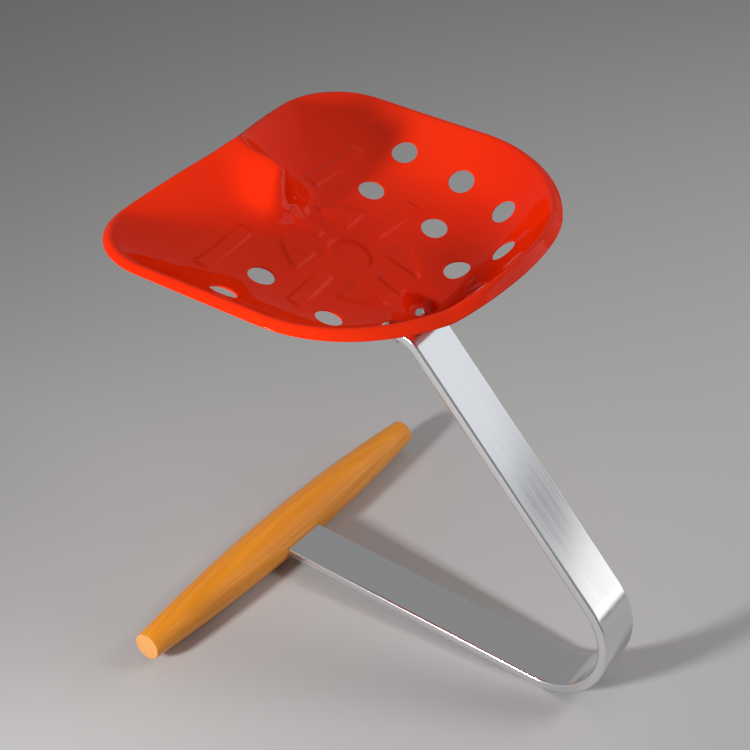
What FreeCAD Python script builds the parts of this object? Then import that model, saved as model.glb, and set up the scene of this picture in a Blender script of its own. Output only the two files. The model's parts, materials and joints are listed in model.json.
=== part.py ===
import FreeCAD, Part
import Sketcher
import math
import os

# Tractor seat stool: a pressed steel pan on one bent flat bar with a turned wooden crossbar.
# Millimetres. +Z is up, -Y is the front, +X is the sitter's left, the floor is at Z 0.
# The origin is on the floor under the middle of the stool's bounding box.

V = FreeCAD.Vector
Turn = FreeCAD.Rotation
X_AXIS = V(1, 0, 0)
Y_AXIS = V(0, 1, 0)
Z_AXIS = V(0, 0, 1)

doc = FreeCAD.newDocument("stool")
sheet = doc.addObject("Spreadsheet::Sheet", "Sizes")

DRIVING = [
    # the flat bar
    ("bar_width", 56.0), ("bar_thickness", 10.8), ("bar_edge_round", 2.4), ("bar_end_round", 16.0),
    ("bend_inner_radius", 66.3), ("top_bend_inner_radius", 25.1),
    ("lower_leg_rise", 3.44), ("upper_leg_rise", 47.42), ("seat_slope", 20.18),
    ("lower_leg_length", 345.0), ("upper_leg_length", 300.3), ("bar_end_beyond_bolt", 24.0),
    ("flat_margin", 0.2),
    # the wooden crossbar
    ("crossbar_length", 464.0), ("crossbar_middle_radius", 25.87), ("crossbar_end_radius", 14.77),
    ("crossbar_back", 340.1), ("slot_clearance", 0.15), ("slot_end_clearance", 0.3),
    ("crossbar_end_chamfer", 1.2),
    # the screws in the crossbar
    ("wood_screw_radius", 2.25), ("wood_screw_head_radius", 4.4), ("wood_screw_spacing", 30.0),
    ("wood_screw_length", 36.0), ("wood_screw_sink", 0.8), ("bar_screw_clearance", 0.1),
    ("screw_cross_length", 4.4), ("screw_cross_width", 0.9), ("screw_cross_depth", 1.5),
    # the bolt and what it holds
    ("bolt_radius", 3.0), ("bolt_length", 36.5), ("bolt_head_radius", 7.5), ("bolt_head_height", 4.8),
    ("bolt_slot_width", 1.6), ("bolt_slot_depth", 2.0), ("bolt_slot_angle", 16.0),
    ("bolt_clearance", 0.05), ("bar_hole_clearance", 0.25),
    ("rubber_radius", 7.5), ("rubber_thickness", 8.0),
    ("plate_washer_radius", 6.5), ("plate_washer_thickness", 1.2),
    ("spring_washer_radius", 5.7), ("spring_washer_thickness", 1.6), ("spring_washer_gap", 1.5),
    ("nut_hub_radius", 6.4), ("nut_hub_height", 8.5), ("nut_wing_reach", 16.0),
    ("nut_wing_height", 15.0), ("nut_wing_thickness", 3.4), ("nut_turn", 35.0),
    ("nut_top_radius", 5.1), ("nut_tip_radius", 4.3),
    ("nut_root_reach", 2.9), ("nut_root_height", 4.7), ("nut_root_half_width", 3.1),
    # the pan, seen from above
    ("seat_turn", 3.8), ("sheet_thickness", 2.0), ("seat_half_width", 206.9), ("side_taper", 0.6),
    ("seat_back_reach", 116.0), ("seat_back_depth", 154.6), ("seat_front_reach", 211.0),
    ("corner_radius", 73.3), ("corner_forward", 32.0), ("corner_blend", 28.0), ("front_bow_power", 1.36),
    ("hub_offset", 78.7), ("hub_radius", 20.0), ("hub_recess", 3.2), ("hub_wall", 4.0),
    # the pan's heights
    ("rim_height", 78.3), ("rim_fall", 0.0816), ("back_rise", 10.6), ("back_rise_half_width", 105.0),
    ("front_corner_height", 94.7), ("front_arch_height", 23.2), ("front_arch_half_width", 149.4),
    ("front_arch_softness", 41.0), ("front_arch_power", 1.475),
    ("flange_width", 10.7), ("flange_drop", 6.8),
    ("wall_power_side", 3.47), ("wall_power_back", 1.5),
    ("flat_share_side", 0.026), ("flat_share_back", 0.42),
    ("pommel_height", 39.0), ("pommel_centre", 155.0), ("pommel_half_width", 24.0),
    ("pommel_front_length", 36.0), ("pommel_back_length", 12.0),
    ("dip_depth", 7.5), ("dip_centre", 10.0), ("dip_radius", 50.0),
    ("dimple_depth", 13.8), ("dimple_floor_radius", 10.0), ("dimple_top_radius", 18.5),
    # the pan's holes
    ("hole_radius", 13.1),
]

for row, (alias, value) in enumerate(DRIVING, start=1):
    sheet.set("A%d" % row, alias.replace("_", " "))
    sheet.set("B%d" % row, str(value))
    sheet.setAlias("B%d" % row, alias)
doc.recompute()


def size(alias):
    return float(getattr(sheet, alias))


# Places worked out from the sizes, in the side view.
# The bend's centre is the working origin until the whole stool is shifted to its own.
lower_rise = math.radians(size("lower_leg_rise"))
upper_rise = math.radians(size("upper_leg_rise"))
slope = math.radians(size("seat_slope"))
bend_outer = size("bend_inner_radius") + size("bar_thickness")
bend_middle = size("bend_inner_radius") + size("bar_thickness") / 2
top_bend_middle = size("top_bend_inner_radius") + size("bar_thickness") / 2


def side(y, z):
    return V(0, y, z)


def forward(angle):
    """Unit vector to the front that rises by the angle."""
    return side(-math.cos(angle), math.sin(angle))


def upward(angle):
    """Unit normal on the upper side of a line that rises to the front by the angle."""
    return side(math.sin(angle), math.cos(angle))


bend_centre = side(0, bend_outer)
lower_tangent = bend_centre - upward(lower_rise) * bend_middle
upper_tangent = bend_centre + upward(upper_rise) * bend_middle
top_bend_start = upper_tangent + forward(upper_rise) * size("upper_leg_length")
top_bend_centre = top_bend_start - upward(upper_rise) * top_bend_middle
top_bend_end = top_bend_centre + upward(slope) * top_bend_middle
flat_before_bolt = size("rubber_radius") + size("flat_margin")
bolt_in_bar = top_bend_end + forward(slope) * flat_before_bolt
bar_tip = bolt_in_bar + forward(slope) * size("bar_end_beyond_bolt")
bolt_axis = upward(slope)
bar_top = bolt_in_bar + bolt_axis * (size("bar_thickness") / 2)
bar_under = bolt_in_bar - bolt_axis * (size("bar_thickness") / 2)
pan_under = bar_top + bolt_axis * size("rubber_thickness")
pan_floor = pan_under + bolt_axis * size("sheet_thickness")

# The pan's own frame: its origin is where the bolt's axis meets the plane of the pan's bottom.
# X is across, Y to the back and Z straight up from the floor, before the pan is turned on its bolt.
pan_origin = pan_floor + V(0, 0, size("dimple_depth"))
pan_slope = math.tan(slope)
hub_y = -size("hub_offset")
side_y = size("seat_back_reach") - size("seat_back_depth")
corner_x = size("seat_half_width") - size("side_taper") - size("corner_radius")
corner_y = -size("seat_front_reach") - size("corner_forward") + size("corner_radius")


def smooth_step(t):
    t = min(max(t, 0.0), 1.0)
    return t * t * (3 - 2 * t)


# The pan's outline is a half ellipse at the back, a long side, a round corner and a bowed front edge.
OUTLINE_BACK = 24
OUTLINE_SIDE = 8
OUTLINE_CORNER = 12
OUTLINE_FRONT = 14
CORNER_SWEEP = math.radians(84)


def half_outline():
    points = []
    for i in range(OUTLINE_BACK):
        t = math.pi / 2 * i / OUTLINE_BACK
        points.append((size("seat_half_width") * math.sin(t), side_y + size("seat_back_depth") * math.cos(t)))
    side_end = corner_x + size("corner_radius")
    for i in range(OUTLINE_SIDE):
        t = i / OUTLINE_SIDE
        x = size("seat_half_width") + (side_end - size("seat_half_width")) * t
        points.append((x, side_y + (corner_y - side_y) * t))
    for i in range(OUTLINE_CORNER):
        t = CORNER_SWEEP * i / OUTLINE_CORNER
        points.append((corner_x + size("corner_radius") * math.cos(t),
                       corner_y - size("corner_radius") * math.sin(t)))
    start_x = corner_x + size("corner_radius") * math.cos(CORNER_SWEEP)
    start_y = corner_y - size("corner_radius") * math.sin(CORNER_SWEEP)
    for i in range(OUTLINE_FRONT + 1):
        x = start_x * (1 - i / OUTLINE_FRONT)
        bow = 1 - (1 - x / start_x) ** size("front_bow_power")
        points.append((x, -size("seat_front_reach") + (start_y + size("seat_front_reach")) * bow))
    return points


def rim_top(x, y):
    """Height of the rim over the pan's origin."""
    height = size("rim_height") - size("rim_fall") * y
    if y > 0:
        height += size("back_rise") * max(0.0, 1 - (x / size("back_rise_half_width")) ** 2)
    soft_x = math.hypot(x, size("front_arch_softness")) - size("front_arch_softness")
    arch = max(0.0, 1 - soft_x / size("front_arch_half_width")) ** size("front_arch_power")
    front = size("front_corner_height") + size("front_arch_height") * arch
    share = smooth_step((size("corner_blend") - size("seat_front_reach") - y) / size("corner_blend"))
    return height * (1 - share) + max(height, front) * share


def pan_height(x, y, edge_x, edge_y, share):
    """Top of the sheet at a point that lies a share of the way from the hub to the outline."""
    back = max(0.0, (edge_y - hub_y) / math.hypot(edge_x, edge_y - hub_y))
    flat_share = size("flat_share_side") + (size("flat_share_back") - size("flat_share_side")) * back
    power = size("wall_power_side") + (size("wall_power_back") - size("wall_power_side")) * back
    reach = math.hypot(edge_x, edge_y - hub_y)
    wall_end = 1 - size("flange_width") / reach
    lift = rim_top(edge_x, edge_y) + pan_slope * edge_y
    ratio = min(share / wall_end, 1.0)
    climb = max(0.0, (ratio - flat_share) / (1 - flat_share)) ** power
    height = -pan_slope * y + lift * climb
    if share > wall_end:
        over = (share - wall_end) / (1 - wall_end)
        height = -pan_slope * y * (1 - over) + (-pan_slope * edge_y) * over + lift
        height -= size("flange_drop") * over * over
    along = y + size("pommel_centre")
    length = size("pommel_front_length") if along < 0 else size("pommel_back_length")
    height += (size("pommel_height") * math.exp(-(x / size("pommel_half_width")) ** 2)
               * math.exp(-(along / length) ** 2))
    from_dip = math.hypot(x, y - size("dip_centre")) / size("dip_radius")
    height -= size("dip_depth") * (1 - smooth_step(from_dip))
    away = math.hypot(x, y / math.cos(slope))
    sink = 1 - smooth_step((away - size("dimple_floor_radius"))
                           / (size("dimple_top_radius") - size("dimple_floor_radius")))
    floor = -pan_slope * y - size("dimple_depth")
    height = height * (1 - sink) + floor * sink
    from_hub = math.hypot(x, y - hub_y)
    hub_sink = 1 - smooth_step((from_hub - size("hub_radius")) / size("hub_wall"))
    hub_floor = -pan_slope * y - size("hub_recess")
    return height * (1 - hub_sink) + hub_floor * hub_sink


# Rings of the pan's grid, as shares of the way from the hub's edge to the outline.
RINGS = 34


def pan_grid():
    """Points of the sheet's top over the half with X not negative, from the hub's edge outwards."""
    grid = []
    for edge_x, edge_y in half_outline():
        reach = math.hypot(edge_x, edge_y - hub_y)
        first = size("hub_radius") / reach
        ray = []
        for j in range(RINGS + 1):
            share = first + (1 - first) * j / RINGS
            x = edge_x * share
            y = hub_y + (edge_y - hub_y) * share
            ray.append(V(x, y, pan_height(x, y, edge_x, edge_y, share)))
        grid.append(ray)
    return grid


def grid_normals(grid):
    """Unit normals of the grid, pointing up. On the middle plane they have no part across."""
    normals = []
    last_i = len(grid) - 1
    for i, ray in enumerate(grid):
        line = []
        for j in range(len(ray)):
            if i == 0:
                across = V(1, 0, 0)
            elif i == last_i:
                across = V(-1, 0, 0)
            else:
                across = grid[i + 1][j] - grid[i - 1][j]
            outward = grid[i][min(j + 1, RINGS)] - grid[i][max(j - 1, 0)]
            normal = outward.cross(across)
            if normal.z < 0:
                normal = normal * -1
            if j == 0:
                normal = V(0, math.sin(slope), math.cos(slope))
            normal.normalize()
            line.append(normal)
        normals.append(line)
    return normals


def surface(grid):
    skin = Part.BSplineSurface()
    skin.interpolate(grid)
    return skin


def mirrored(grid):
    return [[V(-p.x, p.y, p.z) for p in ray] for ray in grid]


def ring_edge(skin, outermost):
    """The edge of a skin at its outermost or its innermost ring."""
    first_ring, last_ring = skin.bounds()[2:]
    return skin.vIso(last_ring if outermost else first_ring).toShape()


def pan_sheet():
    """The pressed sheet as one closed solid, before its holes."""
    top = pan_grid()
    normals = grid_normals(top)
    under = [[p - n * size("sheet_thickness") for p, n in zip(ray, line)] for ray, line in zip(top, normals)]
    faces = []
    hubs = {"top": [], "under": []}
    for flip in (False, True):
        skins = {}
        for name, grid in (("top", top), ("under", under)):
            skins[name] = surface(mirrored(grid) if flip else grid)
            faces.append(skins[name].toShape())
            hubs[name].append(ring_edge(skins[name], False))
        faces.append(Part.makeRuledSurface(ring_edge(skins["top"], True), ring_edge(skins["under"], True)))
    for name in ("top", "under"):
        faces.append(Part.Face(Part.Wire(Part.__sortEdges__(hubs[name]))))
    shell = Part.makeShell(faces)
    shell.sewShape()
    if shell.ShapeType == "Compound":
        shell = shell.Shells[0]
    solid = Part.makeSolid(shell)
    if solid.Volume < 0:
        solid.reverse()
    return solid


# Hole centres, each as (share of the half width across, millimetres back) from the bolt.
# The ones off the middle are on both sides.
HOLES = [(0.7593, -110.3), (0.7463, -42.1), (0.6351, 17.7), (0.3804, 45.8), (0.0, 59.6),
         (0.4664, -113.0), (0.4659, -40.0), (0.2755, 7.5)]


def height_at(x, y):
    """Top of the sheet at any point, by finding where its ray from the hub meets the outline."""
    outline = half_outline()
    away_x, away_y = abs(x), y - hub_y
    heading = math.atan2(away_x, away_y)
    for (x0, y0), (x1, y1) in zip(outline, outline[1:]):
        h0 = math.atan2(x0, y0 - hub_y)
        h1 = math.atan2(x1, y1 - hub_y)
        if h0 <= heading <= h1 and h1 > h0:
            t = (heading - h0) / (h1 - h0)
            edge_x, edge_y = x0 + (x1 - x0) * t, y0 + (y1 - y0) * t
            share = math.hypot(away_x, away_y) / math.hypot(edge_x, edge_y - hub_y)
            return pan_height(abs(x), y, edge_x, edge_y, share)
    edge_x, edge_y = outline[-1]
    return pan_height(abs(x), y, edge_x, edge_y, math.hypot(away_x, away_y) / abs(edge_y - hub_y))


def hole_tool(x, y):
    """A short cylinder square to the sheet at a hole."""
    step = 1.0
    rise_x = (height_at(x + step, y) - height_at(x - step, y)) / (2 * step)
    rise_y = (height_at(x, y + step) - height_at(x, y - step)) / (2 * step)
    normal = V(-rise_x, -rise_y, 1)
    normal.normalize()
    reach = size("hole_radius")
    centre = V(x, y, height_at(x, y))
    return Part.makeCylinder(size("hole_radius"), 2 * reach, centre - normal * reach, normal)


def seat_pan_shape():
    solid = pan_sheet()
    tools = []
    for across, y in HOLES:
        x = across * size("seat_half_width")
        tools.append(hole_tool(x, y))
        if x > 0:
            tools.append(hole_tool(-x, y))
    floor = V(0, 0, -size("dimple_depth"))
    under = floor - bolt_axis * size("sheet_thickness")
    flat_radius = size("dimple_floor_radius")
    spare = 3 * size("sheet_thickness")
    solid = solid.fuse(Part.makeCylinder(flat_radius, size("sheet_thickness"), under, bolt_axis))
    tools.append(Part.makeCylinder(flat_radius, spare, floor, bolt_axis))
    tools.append(Part.makeCylinder(flat_radius, spare, under, bolt_axis * -1))
    tools.append(Part.makeCylinder(size("bolt_radius") + size("bolt_clearance"), 2 * spare,
                                   under - bolt_axis * spare, bolt_axis))
    return solid.cut(tools)


# The pan turns on its bolt, about the middle of the dimple's floor.
pan_turn = Turn(bolt_axis, size("seat_turn"))
pan_pivot = V(0, 0, -size("dimple_depth"))
pan_shape = seat_pan_shape()
turned = pan_shape.copy()
turned.Placement = FreeCAD.Placement(pan_origin, pan_turn, pan_pivot)
pan_box = turned.optimalBoundingBox()

# The origin is on the floor, midway between the bend's back and the pan's foremost point.
bend_y = -(bend_outer + pan_box.YMin) / 2
SHIFT = V(0, bend_y, 0)


def placed(position, rotation):
    return FreeCAD.Placement(position + SHIFT, rotation)


seat_pan = doc.addObject("Part::Feature", "seat_pan")
seat_pan.Label = "seat_pan"
seat_pan.Shape = pan_shape
seat_pan.Placement = FreeCAD.Placement(pan_origin + SHIFT, pan_turn, pan_pivot)


def origin_plane(body, role):
    for feature in body.Origin.OriginFeatures:
        if feature.Role == role:
            return feature
    raise RuntimeError("no plane " + role)


def new_body(name):
    body = doc.addObject("PartDesign::Body", name)
    body.Label = name
    return body


def sketch_on(body, name, role):
    sketch = body.newObject("Sketcher::SketchObject", name)
    sketch.AttachmentSupport = (origin_plane(body, role), [""])
    sketch.MapMode = "FlatFace"
    return sketch


def rule(sketch, constraint, expression=None):
    """Add a constraint, and bind its value to the sheet where an expression is given."""
    index = sketch.addConstraint(Sketcher.Constraint(*constraint))
    if expression:
        sketch.setExpression("Constraints[%d]" % index, expression)
    return index


def centred_rectangle(sketch, width, height, width_rule, height_rule):
    """A rectangle about the sketch's origin, with both sizes bound to the sheet."""
    corners = [V(-width / 2, -height / 2, 0), V(width / 2, -height / 2, 0),
               V(width / 2, height / 2, 0), V(-width / 2, height / 2, 0)]
    for i in range(4):
        sketch.addGeometry(Part.LineSegment(corners[i], corners[(i + 1) % 4]))
    for i in range(4):
        rule(sketch, ("Coincident", i, 2, (i + 1) % 4, 1))
    rule(sketch, ("Horizontal", 0))
    rule(sketch, ("Horizontal", 2))
    rule(sketch, ("Vertical", 1))
    rule(sketch, ("Vertical", 3))
    rule(sketch, ("Symmetric", 0, 1, 1, 2, -1, 1))
    rule(sketch, ("Distance", 0, width), width_rule)
    rule(sketch, ("Distance", 1, height), height_rule)


# The flat bar. Its own frame starts at the lower end, on the bar's middle, with Y along the lower leg.
bar = new_body("bent_bar")
bar_section = sketch_on(bar, "bar_section", "XZ_Plane")
centred_rectangle(bar_section, size("bar_width"), size("bar_thickness"), "Sizes.bar_width", "Sizes.bar_thickness")

bar_path = sketch_on(bar, "bar_path", "YZ_Plane")
bend_angle = math.pi - (upper_rise - lower_rise)
leg = size("lower_leg_length")
local_up_angle = upper_rise - lower_rise


def local(point):
    """A side-view point in the bar's own frame, as sketch coordinates."""
    start = lower_tangent + forward(lower_rise) * leg
    offset = point - start
    return V(-offset.dot(forward(lower_rise)), offset.dot(upward(lower_rise)), 0)


path_points = [local(lower_tangent + forward(lower_rise) * leg), local(lower_tangent), local(upper_tangent),
               local(top_bend_start), local(top_bend_end), local(bar_tip)]
bar_path.addGeometry(Part.LineSegment(path_points[0], path_points[1]))
bar_path.addGeometry(Part.ArcOfCircle(Part.Circle(local(bend_centre), V(0, 0, 1), bend_middle),
                                      -math.pi / 2, -math.pi / 2 + bend_angle))
bar_path.addGeometry(Part.LineSegment(path_points[2], path_points[3]))
path_turns = []
for centre, start, end in ((local(bend_centre), path_points[1], path_points[2]),
                           (local(top_bend_centre), path_points[3], path_points[4])):
    path_turns.append([math.atan2((point - centre).y, (point - centre).x) for point in (start, end)])
bar_path.addGeometry(Part.ArcOfCircle(Part.Circle(local(top_bend_centre), V(0, 0, 1), top_bend_middle),
                                      path_turns[1][0], path_turns[1][1]))
bar_path.addGeometry(Part.LineSegment(path_points[4], path_points[5]))
rule(bar_path, ("Coincident", 0, 1, -1, 1))
rule(bar_path, ("Horizontal", 0))
for piece in range(4):
    rule(bar_path, ("Tangent", piece, 2, piece + 1, 1))
rule(bar_path, ("Distance", 0, leg), "Sizes.lower_leg_length")
rule(bar_path, ("Radius", 1, bend_middle), "Sizes.bend_inner_radius + Sizes.bar_thickness / 2")
rule(bar_path, ("Angle", 2, math.pi - local_up_angle), "(180 - Sizes.upper_leg_rise + Sizes.lower_leg_rise) * 1 deg")
rule(bar_path, ("Distance", 2, size("upper_leg_length")), "Sizes.upper_leg_length")
rule(bar_path, ("Radius", 3, top_bend_middle), "Sizes.top_bend_inner_radius + Sizes.bar_thickness / 2")
rule(bar_path, ("Angle", 4, math.pi - (slope - lower_rise)), "(180 - Sizes.seat_slope + Sizes.lower_leg_rise) * 1 deg")
rule(bar_path, ("Distance", 4, flat_before_bolt + size("bar_end_beyond_bolt")),
     "Sizes.rubber_radius + Sizes.flat_margin + Sizes.bar_end_beyond_bolt")
bar_pipe = bar.newObject("PartDesign::AdditivePipe", "bar_pipe")
bar_pipe.Profile = bar_section
bar_pipe.Spine = bar_path
doc.recompute()


def edges_where(shape, test):
    return ["Edge%d" % (i + 1) for i, edge in enumerate(shape.Edges) if test(edge)]


def near_tip(edge):
    tip = V(0, path_points[5].x, path_points[5].y)
    thick = abs(edge.Length - size("bar_thickness")) < 0.01
    return thick and (edge.CenterOfMass - tip).Length < size("bar_width") / 2 + 1


tip_corners = bar.newObject("PartDesign::Fillet", "tip_corners")
tip_corners.Base = (bar_pipe, edges_where(bar_pipe.Shape, near_tip))
tip_corners.setExpression("Radius", "Sizes.bar_end_round")
doc.recompute()


def long_edge(edge):
    at_side = abs(abs(edge.CenterOfMass.x) - size("bar_width") / 2) < 0.01
    return at_side and edge.Length > size("bar_thickness") + 1


long_edges = bar.newObject("PartDesign::Fillet", "long_edges")
long_edges.Base = (tip_corners, edges_where(tip_corners.Shape, long_edge))
long_edges.setExpression("Radius", "Sizes.bar_edge_round")
bar.Tip = long_edges
doc.recompute()

bar_start = lower_tangent + forward(lower_rise) * leg
bar_turn = Turn(X_AXIS, -size("lower_leg_rise"))
bar.Placement = placed(bar_start, bar_turn)


def cylinder(name, radius_rule, height_rule, place):
    solid = doc.addObject("Part::Cylinder", name)
    solid.setExpression("Radius", radius_rule)
    solid.setExpression("Height", height_rule)
    solid.Placement = place
    return solid


def cone(name, radius_1_rule, radius_2_rule, height_rule, place):
    solid = doc.addObject("Part::Cone", name)
    solid.setExpression("Radius1", radius_1_rule)
    solid.setExpression("Radius2", radius_2_rule)
    solid.setExpression("Height", height_rule)
    solid.Placement = place
    return solid


def cut(name, base, tools):
    tool = tools[0]
    if len(tools) > 1:
        tool = doc.addObject("Part::MultiFuse", name + "_tools")
        tool.Shapes = tools
    result = doc.addObject("Part::Cut", name)
    result.Base = base
    result.Tool = tool
    return result


def along(point, direction):
    """A placement at a side-view point with its Z along a direction."""
    return placed(point, Turn(Z_AXIS, direction))


# The bolt's hole through the bar, and the two screw holes in its lower end.
bolt_hole = cylinder("bolt_hole", "Sizes.bolt_radius + Sizes.bar_hole_clearance", "3 * Sizes.bar_thickness",
                     along(bolt_in_bar - bolt_axis * (1.5 * size("bar_thickness")), bolt_axis))
crossbar_centre = V(0, -size("crossbar_back"), size("crossbar_middle_radius"))
screw_down = upward(lower_rise) * -1
screw_sides = (-1, 1)
screw_head_level = size("crossbar_middle_radius") - size("wood_screw_sink")


def screw_place(end, level):
    """A placement on a screw's axis, square to the lower leg, at a level under the crossbar's axis."""
    across = V(end * size("wood_screw_spacing") / 2, 0, 0)
    return placed(crossbar_centre + across + screw_down * level, Turn(Z_AXIS, upward(lower_rise)))


screw_bores = []
for end in screw_sides:
    screw_bores.append(cylinder("bar_screw_hole", "Sizes.wood_screw_radius + Sizes.bar_screw_clearance",
                                "Sizes.wood_screw_length",
                                screw_place(end, screw_head_level)))
stem_bar = cut("stem_bar_cut", bar, [bolt_hole] + screw_bores)
stem_bar.Label = "stem_bar"

# The crossbar. Its own frame has X along it and Y along the bar's lower leg.
wood = new_body("turned_wood")
wood_profile = sketch_on(wood, "wood_profile", "XY_Plane")
half = size("crossbar_length") / 2
middle = size("crossbar_middle_radius")
end_radius = size("crossbar_end_radius")
bow = Part.Arc(V(half, end_radius, 0), V(0, middle, 0), V(-half, end_radius, 0))
wood_profile.addGeometry(bow)
wood_profile.addGeometry(Part.LineSegment(V(-half, end_radius, 0), V(-half, 0, 0)))
wood_profile.addGeometry(Part.LineSegment(V(-half, 0, 0), V(half, 0, 0)))
wood_profile.addGeometry(Part.LineSegment(V(half, 0, 0), V(half, end_radius, 0)))
rule(wood_profile, ("Coincident", 0, 2, 1, 1))
rule(wood_profile, ("Coincident", 1, 2, 2, 1))
rule(wood_profile, ("Coincident", 2, 2, 3, 1))
rule(wood_profile, ("Coincident", 3, 2, 0, 1))
rule(wood_profile, ("Vertical", 1))
rule(wood_profile, ("Vertical", 3))
rule(wood_profile, ("Symmetric", 2, 1, 2, 2, -1, 1))
rule(wood_profile, ("DistanceX", 2, 1, 2, 2, 2 * half), "Sizes.crossbar_length")
rule(wood_profile, ("DistanceY", 3, 1, 3, 2, end_radius), "Sizes.crossbar_end_radius")
crown_rise = "(Sizes.crossbar_middle_radius - Sizes.crossbar_end_radius)"
crown = middle - end_radius
rule(wood_profile, ("Radius", 0, (half ** 2 + crown ** 2) / (2 * crown)),
     "(Sizes.crossbar_length ^ 2 / 4 + " + crown_rise + " ^ 2) / (2 * " + crown_rise + ")")
wood_turning = wood.newObject("PartDesign::Revolution", "wood_turning")
wood_turning.Profile = wood_profile
wood_turning.ReferenceAxis = (wood_profile, ["H_Axis"])
wood_turning.Angle = 360
doc.recompute()
wood_ends = wood.newObject("PartDesign::Chamfer", "wood_ends")
wood_ends.Base = (wood_turning, edges_where(
    wood_turning.Shape, lambda edge: abs(abs(edge.CenterOfMass.x) - half) < 0.01 and edge.Length > end_radius))
wood_ends.setExpression("Size", "Sizes.crossbar_end_chamfer")
wood.Tip = wood_ends
doc.recompute()
wood.Placement = placed(crossbar_centre, bar_turn)

# The slot that the bar's lower end sits in is open to the back.
slot = doc.addObject("Part::Box", "bar_slot")
slot.setExpression("Length", "Sizes.bar_width + 2 * Sizes.slot_clearance")
slot.setExpression("Width", "2 * Sizes.crossbar_middle_radius")
slot.setExpression("Height", "Sizes.bar_thickness + 2 * Sizes.slot_clearance")
slot_corner = bar_start + forward(lower_rise) * size("slot_end_clearance")
slot_corner = slot_corner - upward(lower_rise) * (size("bar_thickness") / 2 + size("slot_clearance"))
slot_corner = slot_corner - X_AXIS * (size("bar_width") / 2 + size("slot_clearance"))
slot.Placement = placed(slot_corner, bar_turn)
wood_bores = []
for end in screw_sides:
    wood_bores.append(cylinder("wood_screw_bore", "Sizes.wood_screw_radius", "Sizes.wood_screw_length",
                               screw_place(end, screw_head_level)))
    wood_bores.append(cylinder("wood_screw_mouth", "Sizes.wood_screw_head_radius", "2 * Sizes.wood_screw_sink",
                               screw_place(end, screw_head_level + 2 * size("wood_screw_sink"))))
    wood_bores.append(cone("wood_screw_sink", "Sizes.wood_screw_head_radius", "Sizes.wood_screw_radius",
                           "Sizes.wood_screw_head_radius - Sizes.wood_screw_radius",
                           screw_place(end, screw_head_level)))
crossbar = cut("crossbar_cut", wood, [slot] + wood_bores)
crossbar.Label = "crossbar"

# The two countersunk screws, one group.
screws = []
for end in screw_sides:
    shank = cylinder("wood_screw_shank", "Sizes.wood_screw_radius", "Sizes.wood_screw_length",
                     screw_place(end, screw_head_level))
    head = cone("wood_screw_head", "Sizes.wood_screw_head_radius", "Sizes.wood_screw_radius",
                "Sizes.wood_screw_head_radius - Sizes.wood_screw_radius", screw_place(end, screw_head_level))
    screw = doc.addObject("Part::MultiFuse", "wood_screw")
    screw.Shapes = [shank, head]
    cross = []
    for quarter in (0, 90):
        blade = doc.addObject("Part::Box", "screw_recess")
        blade.setExpression("Length", "Sizes.screw_cross_length")
        blade.setExpression("Width", "Sizes.screw_cross_width")
        blade.setExpression("Height", "Sizes.screw_cross_depth")
        middle_of_blade = V(-size("screw_cross_length") / 2, -size("screw_cross_width") / 2, 0)
        blade.Placement = screw_place(end, screw_head_level).multiply(
            FreeCAD.Placement(V(), Turn(Z_AXIS, quarter))).multiply(FreeCAD.Placement(middle_of_blade, Turn()))
        cross.append(blade)
    screws.append(cut("wood_screw_cut", screw, cross))
crossbar_screws = doc.addObject("Part::Compound", "crossbar_screws_group")
crossbar_screws.Links = screws
crossbar_screws.Label = "crossbar_screws"


def ring(name, outer_rule, inner_rule, height_rule, place):
    outer = cylinder(name + "_disc", outer_rule, height_rule, place)
    inner = cylinder(name + "_bore", inner_rule, height_rule, place)
    return cut(name + "_ring", outer, [inner])


# The rubber washer between bar and pan, and the washers under the bar.
seat_washer = ring("seat_washer", "Sizes.rubber_radius", "Sizes.bolt_radius + Sizes.bolt_clearance",
                   "Sizes.rubber_thickness", along(bar_top, bolt_axis))
seat_washer.Label = "seat_washer"
plate_level = bar_under - bolt_axis * size("plate_washer_thickness")
plate_washer = ring("plate_washer", "Sizes.plate_washer_radius", "Sizes.bolt_radius + Sizes.bolt_clearance",
                    "Sizes.plate_washer_thickness", along(plate_level, bolt_axis))
plate_washer.Label = "plate_washer"
spring_level = plate_level - bolt_axis * size("spring_washer_thickness")
spring_ring = ring("spring_washer", "Sizes.spring_washer_radius", "Sizes.bolt_radius + Sizes.bolt_clearance",
                   "Sizes.spring_washer_thickness", along(spring_level, bolt_axis))
split = doc.addObject("Part::Box", "spring_washer_split")
split.setExpression("Length", "Sizes.spring_washer_radius")
split.setExpression("Width", "Sizes.spring_washer_gap")
split.setExpression("Height", "Sizes.spring_washer_thickness")
split.Placement = along(spring_level, bolt_axis).multiply(
    FreeCAD.Placement(V(size("bolt_radius") / 2, -size("spring_washer_gap") / 2, 0), Turn()))
spring_washer = cut("spring_washer_split_ring", spring_ring, [split])
spring_washer.Label = "spring_washer"

# The bolt: a domed head with a slot, and a plain shank down to its end.
bolt = new_body("turned_bolt")
bolt_profile = sketch_on(bolt, "bolt_profile", "XZ_Plane")
head_radius = size("bolt_head_radius")
head_height = size("bolt_head_height")
shank_radius = size("bolt_radius")
shank_length = size("bolt_length")
dome_radius = (head_radius ** 2 + head_height ** 2) / (2 * head_height)
dome = Part.ArcOfCircle(Part.Circle(V(0, head_height - dome_radius, 0), V(0, 0, 1), dome_radius),
                        math.atan2(dome_radius - head_height, head_radius), math.pi / 2)
bolt_profile.addGeometry(dome)
bolt_profile.addGeometry(Part.LineSegment(V(0, head_height, 0), V(0, -shank_length, 0)))
bolt_profile.addGeometry(Part.LineSegment(V(0, -shank_length, 0), V(shank_radius, -shank_length, 0)))
bolt_profile.addGeometry(Part.LineSegment(V(shank_radius, -shank_length, 0), V(shank_radius, 0, 0)))
bolt_profile.addGeometry(Part.LineSegment(V(shank_radius, 0, 0), V(head_radius, 0, 0)))
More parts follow.
